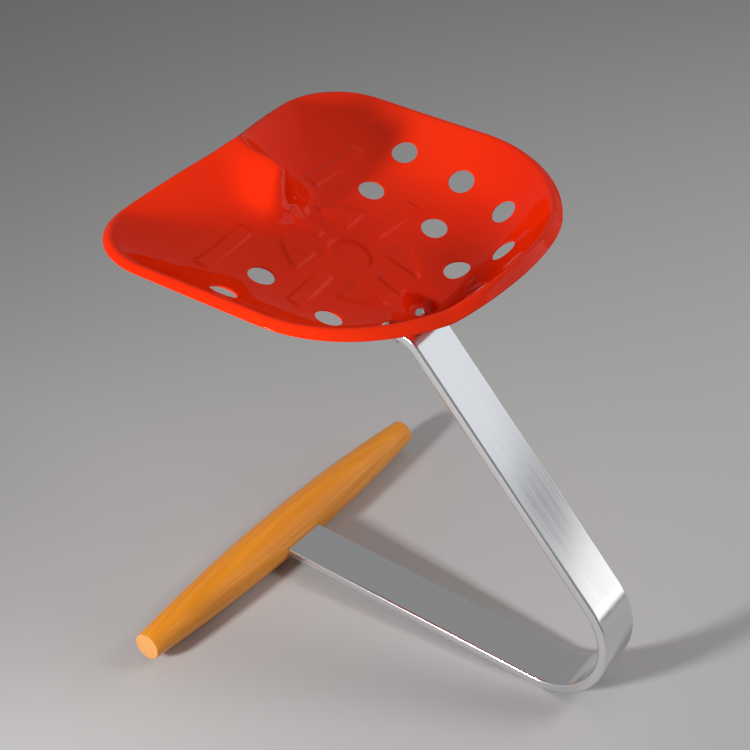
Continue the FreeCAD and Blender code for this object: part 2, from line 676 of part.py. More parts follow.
for first, second in ((0, 1), (1, 2), (2, 3), (3, 4)):
    rule(bolt_profile, ("Coincident", first, 2, second, 1))
rule(bolt_profile, ("Coincident", 4, 2, 0, 1))
rule(bolt_profile, ("PointOnObject", 1, 1, -2))
rule(bolt_profile, ("PointOnObject", 0, 3, -2))
rule(bolt_profile, ("Vertical", 1))
rule(bolt_profile, ("Horizontal", 2))
rule(bolt_profile, ("Vertical", 3))
rule(bolt_profile, ("Horizontal", 4))
rule(bolt_profile, ("PointOnObject", 4, 1, -1))
rule(bolt_profile, ("DistanceX", 2, 1, 2, 2, shank_radius), "Sizes.bolt_radius")
rule(bolt_profile, ("DistanceY", 3, 1, 3, 2, shank_length), "Sizes.bolt_length")
rule(bolt_profile, ("DistanceX", -1, 1, 4, 2, head_radius), "Sizes.bolt_head_radius")
rule(bolt_profile, ("DistanceY", -1, 1, 1, 1, head_height), "Sizes.bolt_head_height")
bolt_turning = bolt.newObject("PartDesign::Revolution", "bolt_turning")
bolt_turning.Profile = bolt_profile
bolt_turning.ReferenceAxis = (bolt_profile, ["V_Axis"])
bolt_turning.Angle = 360
bolt.Tip = bolt_turning
doc.recompute()
bolt_place = along(pan_floor, bolt_axis).multiply(FreeCAD.Placement(V(), Turn(Z_AXIS, size("bolt_slot_angle"))))
bolt.Placement = bolt_place
driver_slot = doc.addObject("Part::Box", "driver_slot")
driver_slot.setExpression("Length", "4 * Sizes.bolt_head_radius")
driver_slot.setExpression("Width", "Sizes.bolt_slot_width")
driver_slot.setExpression("Height", "Sizes.bolt_head_height")
driver_slot.Placement = bolt_place.multiply(FreeCAD.Placement(
    V(-2 * head_radius, -size("bolt_slot_width") / 2, head_height - size("bolt_slot_depth")), Turn()))
seat_bolt = cut("seat_bolt_cut", bolt, [driver_slot])
seat_bolt.Label = "seat_bolt"

# The wing nut. Its own frame has Z along the bolt, away from the bar, and its face at Z 0.
nut_face = spring_level
nut_axis = bolt_axis * -1


def wing_nut_shape():
    reach = size("nut_wing_reach")
    top = size("nut_wing_height")
    thick = size("nut_wing_thickness")
    tip_radius = size("nut_tip_radius")
    root_width = size("nut_root_half_width")
    nut = Part.makeCone(size("nut_hub_radius"), size("nut_top_radius"), size("nut_hub_height"))
    for way in (-1, 1):
        tip = V(way * (reach - tip_radius), -thick / 2, top - tip_radius)
        root = V(way * size("nut_root_reach"), -thick / 2, size("nut_root_height"))
        wing = Part.makeCylinder(tip_radius, thick, tip, Y_AXIS)
        web = tip - root
        web.normalize()
        square = V(-web.z, 0, web.x)
        corners = [root + square * root_width, root - square * root_width,
                   tip - square * tip_radius, tip + square * tip_radius]
        plate = Part.Face(Part.makePolygon(corners + corners[:1])).extrude(Y_AXIS * thick)
        nut = nut.fuse([wing, plate])
    bore = Part.makeCylinder(size("bolt_radius") + size("bolt_clearance"), 3 * top, V(0, 0, -top))
    return nut.cut(bore).removeSplitter()


wing_nut = doc.addObject("Part::Feature", "wing_nut")
wing_nut.Label = "wing_nut"
wing_nut.Shape = wing_nut_shape()
wing_nut.Placement = along(nut_face, nut_axis).multiply(FreeCAD.Placement(V(), Turn(Z_AXIS, size("nut_turn"))))

doc.recompute()

PIECES = [seat_pan, stem_bar, crossbar, crossbar_screws, seat_bolt, seat_washer, plate_washer, spring_washer,
          wing_nut]
for item in doc.Objects:
    if "Invalid" in item.State or "Error" in item.State:
        raise RuntimeError("failed object: " + item.Name)
os.makedirs("parts", exist_ok=True)
for piece in PIECES:
    shape = piece.Shape
    if shape.isNull() or not shape.isValid():
        raise RuntimeError("bad shape: " + piece.Label)
    print("%-16s %d solid(s) %10.1f mm3" % (piece.Label, len(shape.Solids), shape.Volume))
    shape.exportStep("parts/" + piece.Label + ".step")

everything = Part.makeCompound([piece.Shape for piece in PIECES])
box = everything.optimalBoundingBox()
print("box", [round(c, 2) for c in (box.XMin, box.YMin, box.ZMin, box.XMax, box.YMax, box.ZMax)])
print("bolt axis through", [round(c, 3) for c in pan_floor + SHIFT], "along", [round(c, 5) for c in bolt_axis])
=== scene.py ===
# %% [markdown]
# # A tractor seat stool
#
# This lesson dresses a small stool: a pressed steel seat on one bent flat bar, with a turned wooden
# crossbar as its front foot. The solids are already made, and they are loaded here as a fixed frame. Each
# visible piece is modelled again around them with the care that a close view needs, and then gets a finish.

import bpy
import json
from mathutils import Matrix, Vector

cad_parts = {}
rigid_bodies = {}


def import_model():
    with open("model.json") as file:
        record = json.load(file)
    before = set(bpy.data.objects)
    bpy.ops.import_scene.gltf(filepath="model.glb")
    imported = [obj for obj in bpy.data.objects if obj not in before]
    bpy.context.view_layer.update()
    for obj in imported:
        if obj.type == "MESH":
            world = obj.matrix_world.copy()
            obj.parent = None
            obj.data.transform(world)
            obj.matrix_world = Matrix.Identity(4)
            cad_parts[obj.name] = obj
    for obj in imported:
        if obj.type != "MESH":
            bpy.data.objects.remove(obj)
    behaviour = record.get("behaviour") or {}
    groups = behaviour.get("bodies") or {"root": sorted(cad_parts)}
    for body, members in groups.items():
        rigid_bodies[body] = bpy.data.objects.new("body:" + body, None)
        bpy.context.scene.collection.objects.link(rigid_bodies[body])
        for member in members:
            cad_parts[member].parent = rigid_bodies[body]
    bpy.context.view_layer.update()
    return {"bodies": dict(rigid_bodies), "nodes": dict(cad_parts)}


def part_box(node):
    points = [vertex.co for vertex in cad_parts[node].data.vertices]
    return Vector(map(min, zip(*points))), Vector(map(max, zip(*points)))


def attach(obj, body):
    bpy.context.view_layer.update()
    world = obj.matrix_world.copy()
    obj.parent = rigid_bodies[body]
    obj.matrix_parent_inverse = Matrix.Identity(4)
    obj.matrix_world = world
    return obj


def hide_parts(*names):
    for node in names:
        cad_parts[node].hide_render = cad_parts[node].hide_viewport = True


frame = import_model()

# %% Tools for the lesson
import json
import math

import bpy
import numpy as np
from mathutils import Matrix, Vector

MM = 0.001
FULL_TURN = 2 * math.pi
print("Blender", bpy.app.version_string)

# %% [markdown]
# A new Blender file holds a cube, a lamp and a camera. They could be hidden, but it is tidier to remove all
# that the frame didn't bring.

# %% Clear the table
kept = set(frame["nodes"].values()) | set(frame["bodies"].values())
for thing in list(bpy.data.objects):
    if thing not in kept:
        bpy.data.objects.remove(thing)
bpy.ops.object.select_all(action="DESELECT")

# %% [markdown]
# ## The side view
#
# The stool is simple from the side. A flat bar rises a little from the crossbar to the back, turns through
# one large bend that rests on the floor, climbs steeply to the front and bends once more to the slope of the
# seat. All its places follow from a few lengths and angles, so they are worked out rather than typed.

# %% Sizes of the bar, in metres
BAR_WIDTH = 56.0 * MM
BAR_THICKNESS = 10.8 * MM
BEND_INNER = 66.3 * MM
TOP_BEND_INNER = 25.1 * MM
LOWER_LEG = 345.0 * MM
UPPER_LEG = 300.3 * MM
BOLT_TO_TIP = 24.0 * MM
BEND_TO_BOLT = 7.7 * MM
RUBBER = 8.0 * MM
SHEET = 2.0 * MM
LOWER_RISE = math.radians(3.44)
UPPER_RISE = math.radians(47.42)
SLOPE = math.radians(20.18)
print("bar:", BAR_WIDTH, "m wide and", BAR_THICKNESS, "m thick")

# %% Places in the side view
def forward(angle):
    """To the front, rising by an angle."""
    return Vector((0, -math.cos(angle), math.sin(angle)))


def upward(angle):
    """Square to that, on its upper side."""
    return Vector((0, math.sin(angle), math.cos(angle)))


def rounded(values, digits=4):
    """Numbers that are short enough to print."""
    return [round(float(value), digits) for value in values]


bar_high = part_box("stem_bar")[1]
bend_outer = BEND_INNER + BAR_THICKNESS
bend_middle = BEND_INNER + BAR_THICKNESS / 2
top_bend_middle = TOP_BEND_INNER + BAR_THICKNESS / 2
bend_centre = Vector((0, bar_high.y - bend_outer, bend_outer))
lower_tangent = bend_centre - upward(LOWER_RISE) * bend_middle
upper_tangent = bend_centre + upward(UPPER_RISE) * bend_middle
bar_start = lower_tangent + forward(LOWER_RISE) * LOWER_LEG
top_bend_start = upper_tangent + forward(UPPER_RISE) * UPPER_LEG
top_bend_centre = top_bend_start - upward(UPPER_RISE) * top_bend_middle
top_bend_end = top_bend_centre + upward(SLOPE) * top_bend_middle
bolt_in_bar = top_bend_end + forward(SLOPE) * BEND_TO_BOLT
bolt_axis = upward(SLOPE)
bar_top = bolt_in_bar + bolt_axis * BAR_THICKNESS / 2
bar_under = bolt_in_bar - bolt_axis * BAR_THICKNESS / 2
pan_floor = bar_top + bolt_axis * (RUBBER + SHEET)
print("bolt's seat on the pan:", rounded(pan_floor, 5))

# %% [markdown]
# ## The camera
#
# The camera stands where the photograph was taken from. Its place came from matching the bar's straight
# edges, the crossbar and the holes of the seat with the picture. It could be turned by three angles, but a
# direction back to the camera is easier to read, and Blender works out the angles from it.

# %% Camera
CAMERA_FROM_BEND = Vector((1080.45, 542.37, 1078.19)) * MM
TO_CAMERA = Vector((0.68240, 0.47954, 0.55170))
FOCAL_LENGTH = 76.08
FILM_WIDTH = 36.0
camera_data = bpy.data.cameras.new("camera")
camera_data.lens = FOCAL_LENGTH
camera_data.sensor_width = FILM_WIDTH
camera_data.clip_start = 0.05
camera_data.clip_end = 60
camera = bpy.data.objects.new("camera", camera_data)
camera.location = bend_centre + CAMERA_FROM_BEND
camera.rotation_euler = TO_CAMERA.to_track_quat("Z", "Y").to_euler()
bpy.context.scene.collection.objects.link(camera)
bpy.context.scene.camera = camera
print("camera at", rounded(camera.location))

# %% [markdown]
# ## The seat pan
#
# The real pan starts as a flat blank. Holes are punched in it, and a press gives it its bowl, its rolled
# flange, its pommel and its raised ribs. The same order works here. A round blank is turned from a thin
# section, stretched to the pan's outline, punched with Booleans while it is still flat, and then each
# of its points is moved to the height that the press gives it. Modelling the bowl face by face would be
# slower and never as smooth, and glossy enamel shows every dent.
#
# All lengths of the pan are in millimetres, from the bolt: x across, y to the back, z up.

# %% Sizes of the pan's outline
HALF_WIDTH = 206.9
BACK_REACH = 116.0
BACK_DEPTH = 154.6
FRONT_REACH = 211.0
CORNER_RADIUS = 73.3
CORNER_REACH = 243.0
CORNER_SWEEP = math.radians(84)
SIDE_TAPER = 0.6
BOW_POWER = 1.36
HUB_Y = -78.7
SIDE_Y = BACK_REACH - BACK_DEPTH
CORNER_X = HALF_WIDTH - SIDE_TAPER - CORNER_RADIUS
CORNER_Y = CORNER_RADIUS - CORNER_REACH
print("pan across:", 2 * HALF_WIDTH, "front to back:", BACK_REACH + FRONT_REACH)

# %% [markdown]
# The outline is an ellipse at the back, a nearly straight side, a round corner and a bowed front. Half of it
# is enough, because the pan is symmetrical. It is looked up by its heading from the hub, the pressed disc in
# the pan's middle, since the blank is stretched along rays from there.

# %% The pan's outline
BACK_STEPS = 120
SIDE_STEPS = 40
CORNER_STEPS = 60
FRONT_STEPS = 70


def pan_outline():
    """Points from the middle of the back round to the middle of the front."""
    points = []
    for t in np.linspace(0, math.pi / 2, BACK_STEPS, endpoint=False):
        points.append((HALF_WIDTH * math.sin(t), SIDE_Y + BACK_DEPTH * math.cos(t)))
    for t in np.linspace(0, 1, SIDE_STEPS, endpoint=False):
        points.append((HALF_WIDTH - SIDE_TAPER * t, SIDE_Y + (CORNER_Y - SIDE_Y) * t))
    for t in np.linspace(0, CORNER_SWEEP, CORNER_STEPS, endpoint=False):
        points.append((CORNER_X + CORNER_RADIUS * math.cos(t), CORNER_Y - CORNER_RADIUS * math.sin(t)))
    start_x = CORNER_X + CORNER_RADIUS * math.cos(CORNER_SWEEP)
    start_y = CORNER_Y - CORNER_RADIUS * math.sin(CORNER_SWEEP)
    for t in np.linspace(0, 1, FRONT_STEPS + 1):
        points.append((start_x * (1 - t), -FRONT_REACH + (start_y + FRONT_REACH) * (1 - t ** BOW_POWER)))
    return np.array(points)


EDGE = pan_outline()
HEADINGS = np.arctan2(EDGE[:, 0], EDGE[:, 1] - HUB_Y)


def edge_at(heading):
    """The outline's x and y for a heading."""
    return np.interp(heading, HEADINGS, EDGE[:, 0]), np.interp(heading, HEADINGS, EDGE[:, 1])


print("outline's headings:", rounded(np.degrees(HEADINGS[[0, -1]]), 1))

# %% [markdown]
# The press's form is one height for each place. From the hub outwards it is a nearly flat floor, a wall
# that climbs ever more steeply, and a flange. The pommel, the ribs, the dimple for the bolt and the hub's
# disc are added to it. A sculpted bowl could be as good, but it would never be even.

# %% Height of the crest
CORNER_BLEND = 28.0
RIM_HEIGHT = 78.3
RIM_FALL = 0.0816
BACK_RISE = 10.6
BACK_RISE_HALF_WIDTH = 105.0
CORNER_HEIGHT = 94.7
ARCH_HEIGHT = 23.2
ARCH_HALF_WIDTH = 149.4
ARCH_SOFTNESS = 41.0
ARCH_POWER = 1.475


def step(t):
    """A smooth rise from 0 to 1."""
    t = np.clip(t, 0.0, 1.0)
    return t * t * (3 - 2 * t)


def rim_height(x, y):
    """How high the crest stands at a place on the outline: low sides, a rise at the back, an arched front."""
    height = RIM_HEIGHT - RIM_FALL * y
    height = height + np.where(y > 0, BACK_RISE * np.maximum(0, 1 - (x / BACK_RISE_HALF_WIDTH) ** 2), 0)
    soft_x = np.hypot(x, ARCH_SOFTNESS) - ARCH_SOFTNESS
    arch = np.maximum(0, 1 - soft_x / ARCH_HALF_WIDTH) ** ARCH_POWER
    front = CORNER_HEIGHT + ARCH_HEIGHT * arch
    share = step((CORNER_BLEND - FRONT_REACH - y) / CORNER_BLEND)
    return height * (1 - share) + np.maximum(height, front) * share


crest = [rim_height(x, y) for x, y in ((HALF_WIDTH, 0), (0, BACK_REACH), (0, -FRONT_REACH))]
print("crest at the side, back and front:", rounded(crest))

# %% Height along a ray
FLANGE_WIDTH = 10.7
FLANGE_DROP = 6.8
FLAT_SIDE = 0.026
FLAT_BACK = 0.42
POWER_SIDE = 3.47
POWER_BACK = 1.5
TAN_SLOPE = math.tan(SLOPE)


def ray_height(x, y, edge_x, edge_y, reach, share):
    """Floor, wall and flange along a ray from the hub, where share runs from 0 to 1 at the outline."""
    back = np.maximum(0, (edge_y - HUB_Y) / reach)
    flat = FLAT_SIDE + (FLAT_BACK - FLAT_SIDE) * back
    power = POWER_SIDE + (POWER_BACK - POWER_SIDE) * back
    wall_end = 1 - FLANGE_WIDTH / reach
    lift = rim_height(edge_x, edge_y) + TAN_SLOPE * edge_y
    climb = np.maximum(0, (np.minimum(share / wall_end, 1) - flat) / (1 - flat)) ** power
    height = -TAN_SLOPE * y + lift * climb
    over = np.clip((share - wall_end) / (1 - wall_end), 0, 1)
    flange = -TAN_SLOPE * (y * (1 - over) + edge_y * over) + lift - FLANGE_DROP * over ** 2
    return np.where(share > wall_end, flange, height)


print("flange:", FLANGE_WIDTH, "mm wide, dropping by", FLANGE_DROP, "mm")

# %% [markdown]
# The sheet bends round each edge with a small radius, so the heights are averaged over a few millimetres
# along the ray. A Smooth modifier would round those edges too, but the rim with them. The pommel is a soft
# bump, steeper at its back. The dimple and the hub's disc are flat places with a short smooth wall, and a
# wide shallow dip leads down to the dimple.

# %% Height of the sheet anywhere
POMMEL_HEIGHT = 39.0
POMMEL_Y = -155.0
POMMEL_HALF_WIDTH = 24.0
POMMEL_FRONT = 36.0
POMMEL_BACK = 12.0
DIMPLE_DEPTH = 13.8
DIMPLE_FLOOR = 10.0
DIMPLE_TOP = 18.5
DIP_DEPTH = 7.5
DIP_Y = 10.0
DIP_RADIUS = 50.0
HUB_RADIUS = 20.0
HUB_RECESS = 3.2
HUB_WALL = 2.4
# How far along the ray each height is read, and its weight.
BLUR = ((-3.6, 1), (-1.8, 4), (0, 6), (1.8, 4), (3.6, 1))
BLUR_SUM = 16


def sheet_height(x, y):
    """The height of the sheet's top at places on the pan."""
    heading = np.arctan2(np.abs(x), y - HUB_Y)
    edge_x, edge_y = edge_at(heading)
    reach = np.hypot(edge_x, edge_y - HUB_Y)
    away = np.hypot(x, y - HUB_Y)
    height = 0
    for shift, weight in BLUR:
        share = np.minimum((away + shift) / reach, 1)
        height = height + weight / BLUR_SUM * ray_height(edge_x * share, HUB_Y + (edge_y - HUB_Y) * share,
                                                         edge_x, edge_y, reach, share)
    along = y - POMMEL_Y
    length = np.where(along < 0, POMMEL_FRONT, POMMEL_BACK)
    height = height + POMMEL_HEIGHT * np.exp(-(x / POMMEL_HALF_WIDTH) ** 2) * np.exp(-(along / length) ** 2)
    height = height + rib_height(x, y)
    height = height - DIP_DEPTH * (1 - step(np.hypot(x, y - DIP_Y) / DIP_RADIUS))
    sink = 1 - step((np.hypot(x, y / math.cos(SLOPE)) - DIMPLE_FLOOR) / (DIMPLE_TOP - DIMPLE_FLOOR))
    height = height * (1 - sink) + (-TAN_SLOPE * y - DIMPLE_DEPTH) * sink
    hub_sink = 1 - step((away - HUB_RADIUS) / HUB_WALL)
    return height * (1 - hub_sink) + (-TAN_SLOPE * y - HUB_RECESS) * hub_sink


# %% [markdown]
# The ribs stiffen the flat floor of the pan. There are four bars that point at the hub, four quarter
# sectors between them and two long bars near the front. They could be painted on as bump, but then they
# would vanish from the side and from the mesh. Each is a distance to its outline here, which
# gives a raised field with a soft edge.

# %% Places of the ribs
RIB_HEIGHT = 1.9
RIB_EDGE = 3.4
RIB_CORNER = 2.5
# Each bar: its middle, half its length and width, and its turn in degrees.
SIDE_RIB = ((74.2, -74.8), (33.0, 7.0), 6.1)
FRONT_RIB = ((0.0, -124.7), (7.0, 14.5), 0.0)
BACK_RIB = ((0.0, -29.0), (7.0, 14.0), 0.0)
LONG_RIB = ((95.0, -156.0), (40.0, 6.8), 4.0)
# Each sector: the place of its corner near the hub, its way (1 to the back, -1 to the front), its radius.
FRONT_SECTOR = (27.0, -99.0, -1, 64.0)
BACK_SECTOR = (25.5, -54.0, 1, 66.0)
print("ribs:", RIB_HEIGHT, "mm high")

# %% Raise the ribs
def bar_distance(x, y, centre, half_size, degrees):
    """The distance to a bar with round corners, less than 0 inside it."""
    angle = math.radians(degrees)
    dx, dy = x - centre[0], y - centre[1]
    along = np.abs(dx * math.cos(angle) + dy * math.sin(angle)) - half_size[0] + RIB_CORNER
    across = np.abs(dy * math.cos(angle) - dx * math.sin(angle)) - half_size[1] + RIB_CORNER
    outside = np.hypot(np.maximum(along, 0), np.maximum(across, 0))
    return outside + np.minimum(np.maximum(along, across), 0) - RIB_CORNER


def sector_distance(x, y, corner_x, corner_y, way, radius):
    """The distance to a quarter disc round the hub that is cut off at its corner."""
    sides = (corner_x - x, (corner_y - y) * way, np.hypot(x, y - HUB_Y) - radius)
    return np.sqrt(sum(np.maximum(side + RIB_CORNER, 0) ** 2 for side in sides)) - RIB_CORNER


def rib_height(x, y):
    """What the ribs add to the sheet's height."""
    x = np.abs(x)
    fields = [bar_distance(x, y, *rib) for rib in (SIDE_RIB, FRONT_RIB, BACK_RIB, LONG_RIB)]
    fields += [sector_distance(x, y, *sector) for sector in (FRONT_SECTOR, BACK_SECTOR)]
    return RIB_HEIGHT * sum(step(0.5 - field / RIB_EDGE) for field in fields)


places = np.array([HUB_Y, POMMEL_Y, 0.0])
print("sheet at the hub, the pommel and the dimple:", rounded(sheet_height(np.zeros(3), places)))

# %% [markdown]
# Turned things are a section line that is spun round an axis, which is what a lathe does. A cylinder with
# loops and scaled rings would come to the same, but the section line can be read like a drawing. The spin
# leaves a double seam and a pile of points at each pole, so those are merged. Every operator works on what is
# selected, so one helper opens a piece with all of it selected and another sets its normals and closes it.

# %% Open and close a piece
def only(thing):
    """Select one object and nothing else, and make it active."""
    bpy.ops.object.select_all(action="DESELECT")
    thing.select_set(True)
    bpy.context.view_layer.objects.active = thing
    return thing


def edit_all(thing):
    """Open a piece for editing with all of it selected."""
    only(thing)
    bpy.ops.object.mode_set(mode="EDIT")
    bpy.ops.mesh.select_all(action="SELECT")


def close_piece():
    """Point all normals outwards and leave edit mode."""
    bpy.ops.mesh.select_all(action="SELECT")
    bpy.ops.mesh.normals_make_consistent(inside=False)
    bpy.ops.object.mode_set(mode="OBJECT")


# %% Turned things
WELD = 1e-6


def outline(name, points, closed=False):
    """A line of edges through points."""
    mesh = bpy.data.meshes.new(name)
    count = len(points)
    last = count if closed else count - 1
    mesh.from_pydata([tuple(p) for p in points], [(i, (i + 1) % count) for i in range(last)], [])
    thing = bpy.data.objects.new(name, mesh)
    bpy.context.scene.collection.objects.link(thing)
    return thing


def turned(name, section, steps, axis=(0, 0, 1), angle=FULL_TURN, closed=False):
    """A section line spun about an axis through the origin, with its seam and poles welded."""
    thing = outline(name, section, closed)
    edit_all(thing)
    bpy.ops.mesh.spin(steps=steps, angle=angle, center=(0, 0, 0), axis=axis)
    bpy.ops.mesh.select_all(action="SELECT")
    bpy.ops.mesh.remove_doubles(threshold=WELD)
    close_piece()
    return thing


# %% [markdown]
# The blank is a section line from the hub's middle along the top, round the edge and back below, spun
# once round. A circle with its edge extruded ring by ring would give the same net of faces with a hundred
# more steps. Its radius runs from 0 to 1 here, as the share of the way to the outline, and its height is
# the depth in the sheet. What lies past 1 is the rolled edge, which keeps its own width.

# %% The blank's section
RAYS = 360
RINGS = 118
EDGE_STEPS = 6
FIRST_SHARE = 0.02
THICKNESS = SHEET / MM


def blank_section():
    """Top, rolled edge and underside, from the middle out and back."""
    shares = np.linspace(FIRST_SHARE, 1, RINGS)
    top = [(share, 0, 0) for share in shares]
    roll = [(1 + 0.5 * math.sin(t), 0, -0.5 * (1 - math.cos(t)))
            for t in np.linspace(0, math.pi, EDGE_STEPS + 2)[1:-1]]
    under = [(share, 0, -1) for share in shares[::-1]]
    return [(0, 0, 0)] + top + roll + under + [(0, 0, -1)]


print("section:", len(blank_section()), "points")

# %% Read and write points
def read_points(thing):
    """The points of a mesh as rows of x, y and z."""
    points = np.zeros(len(thing.data.vertices) * 3)
    thing.data.vertices.foreach_get("co", points)
    return points.reshape(-1, 3)


def write_points(thing, points):
    """Move the points of a mesh to new places."""
    thing.data.vertices.foreach_set("co", points.ravel())
    thing.data.update()


# %% Turn the blank and stretch it
pan = turned("seat_pan", blank_section(), RAYS)
points = read_points(pan)
away = np.hypot(points[:, 0], points[:, 1])
heading = np.arctan2(points[:, 0], points[:, 1])
edge_x, edge_y = edge_at(np.abs(heading))
roll = np.maximum(away - 1, 0)
share = np.minimum(away, 1)
reach = np.hypot(edge_x, edge_y - HUB_Y)
side = np.where(heading < 0, -1.0, 1.0)
stretch = share * (1 - 0.5 * THICKNESS / reach) + roll * THICKNESS / reach
write_points(pan, np.column_stack((side * edge_x * stretch, HUB_Y + (edge_y - HUB_Y) * stretch,
                                   points[:, 2] * THICKNESS)))
print("blank:", len(pan.data.polygons), "faces")

# %% [markdown]
# Fifteen holes and the bolt's hole are punched while the blank is flat. The punch is a cylinder with flared
# ends, so each hole gets its broken edges in the same cut. On a slope a round hole is an ellipse from
# above, so each punch is squeezed to the slope that its place will have.
#
# A piece is moved by its mesh and not by its object. The object then stays at the origin, so a pattern on
# Object coordinates neither slides nor turns.

# %% Move a piece
def place(thing, matrix):
    """Move a piece by its mesh, so its object stays at the origin."""
    thing.data.transform(matrix)
    thing.data.update()
    return thing


# %% One punch
# Places on the left half and on the middle line. Those off the line are mirrored.
HOLES = [(157.1, -110.3), (154.4, -42.1), (131.4, 17.7), (78.7, 45.8), (0.0, 59.6),
         (96.5, -113.0), (96.4, -40.0), (57.0, 7.5)]
HOLE_RADIUS = 13.1
HOLE_SIDES = 56
PAN_BOLT_HOLE = 3.05
PAN_BOLT_SIDES = 40
BREAK = 0.45
PUNCH_SPAN = 2.0


def slopes(x, y, reach):
    """How fast the sheet rises in x and in y, measured over a reach each way."""
    rise_x = (sheet_height(x + reach, y) - sheet_height(x - reach, y)) / (2 * reach)
    rise_y = (sheet_height(x, y + reach) - sheet_height(x, y - reach)) / (2 * reach)
    return rise_x, rise_y


def punch(x, y, radius, sides):
    """A flared tool at a place, 1 mm longer than the sheet on each side and squeezed to the slope there."""
    profile = [(0, 0, 1), (radius + BREAK + 1, 0, 1), (radius, 0, -BREAK), (radius, 0, BREAK - THICKNESS),
               (radius + BREAK + 1, 0, -THICKNESS - 1), (0, 0, -THICKNESS - 1)]
    tool = turned("punch", profile, sides)
    rise_x, rise_y = (float(r) for r in slopes(np.array(x), np.array(y), PUNCH_SPAN))
    normal = Vector((-rise_x, -rise_y, 1)).normalized()
    turn = Vector((0, 0, 1)).rotation_difference(normal).to_matrix()
    squeeze = Matrix.Identity(4)
    for row in (0, 1):
        for column in (0, 1):
            squeeze[row][column] = turn[row][column]
    place(tool, Matrix.Translation((x, y, 0)) @ squeeze)
    return tool


# %% [markdown]
# Cutting one shape away from another is a Boolean, and so is joining two into one skin. The modifier could
# stay live, but an applied one leaves a plain mesh that later steps can select from.

# %% Modifiers and Booleans
def apply_modifier(thing, kind, **settings):
    """Add a modifier, set it and apply it."""
    only(thing)
    modifier = thing.modifiers.new("step", kind)
    for key, value in settings.items():
        setattr(modifier, key, value)
    bpy.ops.object.modifier_apply(modifier="step")
    return thing


def combine(thing, tool, operation="DIFFERENCE"):
    """Cut a tool away from a piece, or join it on, and then drop the tool."""
    apply_modifier(thing, "BOOLEAN", object=tool, operation=operation, solver="EXACT")
    bpy.data.objects.remove(tool)
    return thing


def join(things):
    """One object from several."""
    only(things[0])
    for other in things[1:]:
        other.select_set(True)
    bpy.ops.object.join()
    return things[0]


# %% Punch the holes
punches = [punch(0.0, 0.0, PAN_BOLT_HOLE, PAN_BOLT_SIDES)]
for across, back in HOLES:
    for way in ((1, -1) if across else (1,)):
        punches.append(punch(way * across, back, HOLE_RADIUS, HOLE_SIDES))
print("punches:", len(punches))
combine(pan, join(punches))
print("punched blank:", len(pan.data.polygons), "faces")

# %% [markdown]
# Now the press closes. Each point of the top goes to the height of its place, and each point of the
# underside goes the sheet's thickness below it, square to the surface. Then the pan is turned on its bolt,
# by the few degrees that it was left at, and set down in the dimple's seat.

# %% Press the pan
PRESS_SPAN = 1.2
x, y, depth = read_points(pan).T
heading = np.arctan2(np.abs(x), y - HUB_Y)
edge_x, edge_y = edge_at(heading)
over = np.maximum(np.hypot(x, y - HUB_Y) / np.hypot(edge_x, edge_y - HUB_Y), 1)
inside_x, inside_y = x / over, HUB_Y + (y - HUB_Y) / over
rise_x, rise_y = slopes(inside_x, inside_y, PRESS_SPAN)
length = np.sqrt(rise_x ** 2 + rise_y ** 2 + 1)
height = (sheet_height(inside_x, inside_y) + depth / length
          + rise_x * (x - inside_x) + rise_y * (y - inside_y))
write_points(pan, np.column_stack((x - rise_x / length * depth, y - rise_y / length * depth, height)))
print("deepest and highest:", rounded((height.min(), height.max())))

# %% Set the pan on its bolt
SEAT_TURN = math.radians(3.8)


def smooth(thing, degrees):
    """Smooth shading that keeps the edges sharper than an angle."""
    only(thing)
    bpy.ops.object.shade_smooth_by_angle(angle=math.radians(degrees))
    return thing


pan_turn = Matrix.Rotation(SEAT_TURN, 4, bolt_axis)
pan_place = Matrix.Translation(pan_floor) @ pan_turn @ Matrix.Scale(MM, 4)
place(pan, pan_place @ Matrix.Translation((0, 0, DIMPLE_DEPTH)))
smooth(pan, 50)
pressed = read_points(pan)
print("pressed pan:", rounded(pressed.min(axis=0)), rounded(pressed.max(axis=0)))

# %% [markdown]
# ## Helpers for finishes
#
# A finish is a tree of nodes. Reading its maths is easier as a formula than as a list of nodes, so a small
# class wraps one output and adds a Math node for each sign in a Python expression. Every other node comes
# from one method.

# %% One output of a node
class Value:
    """One output of a node, for use in expressions."""

    def __init__(self, finish, socket):
        self.finish = finish
        self.socket = socket

    def maths(self, operation, *values):
        """A Math node on one or two values."""
        return self.finish.node("ShaderNodeMath", {"operation": operation}, dict(enumerate(values)))

    def __add__(self, other):
        return self.maths("ADD", self, other)

    def __mul__(self, other):
        return self.maths("MULTIPLY", self, other)

    __radd__ = __add__
    __rmul__ = __mul__


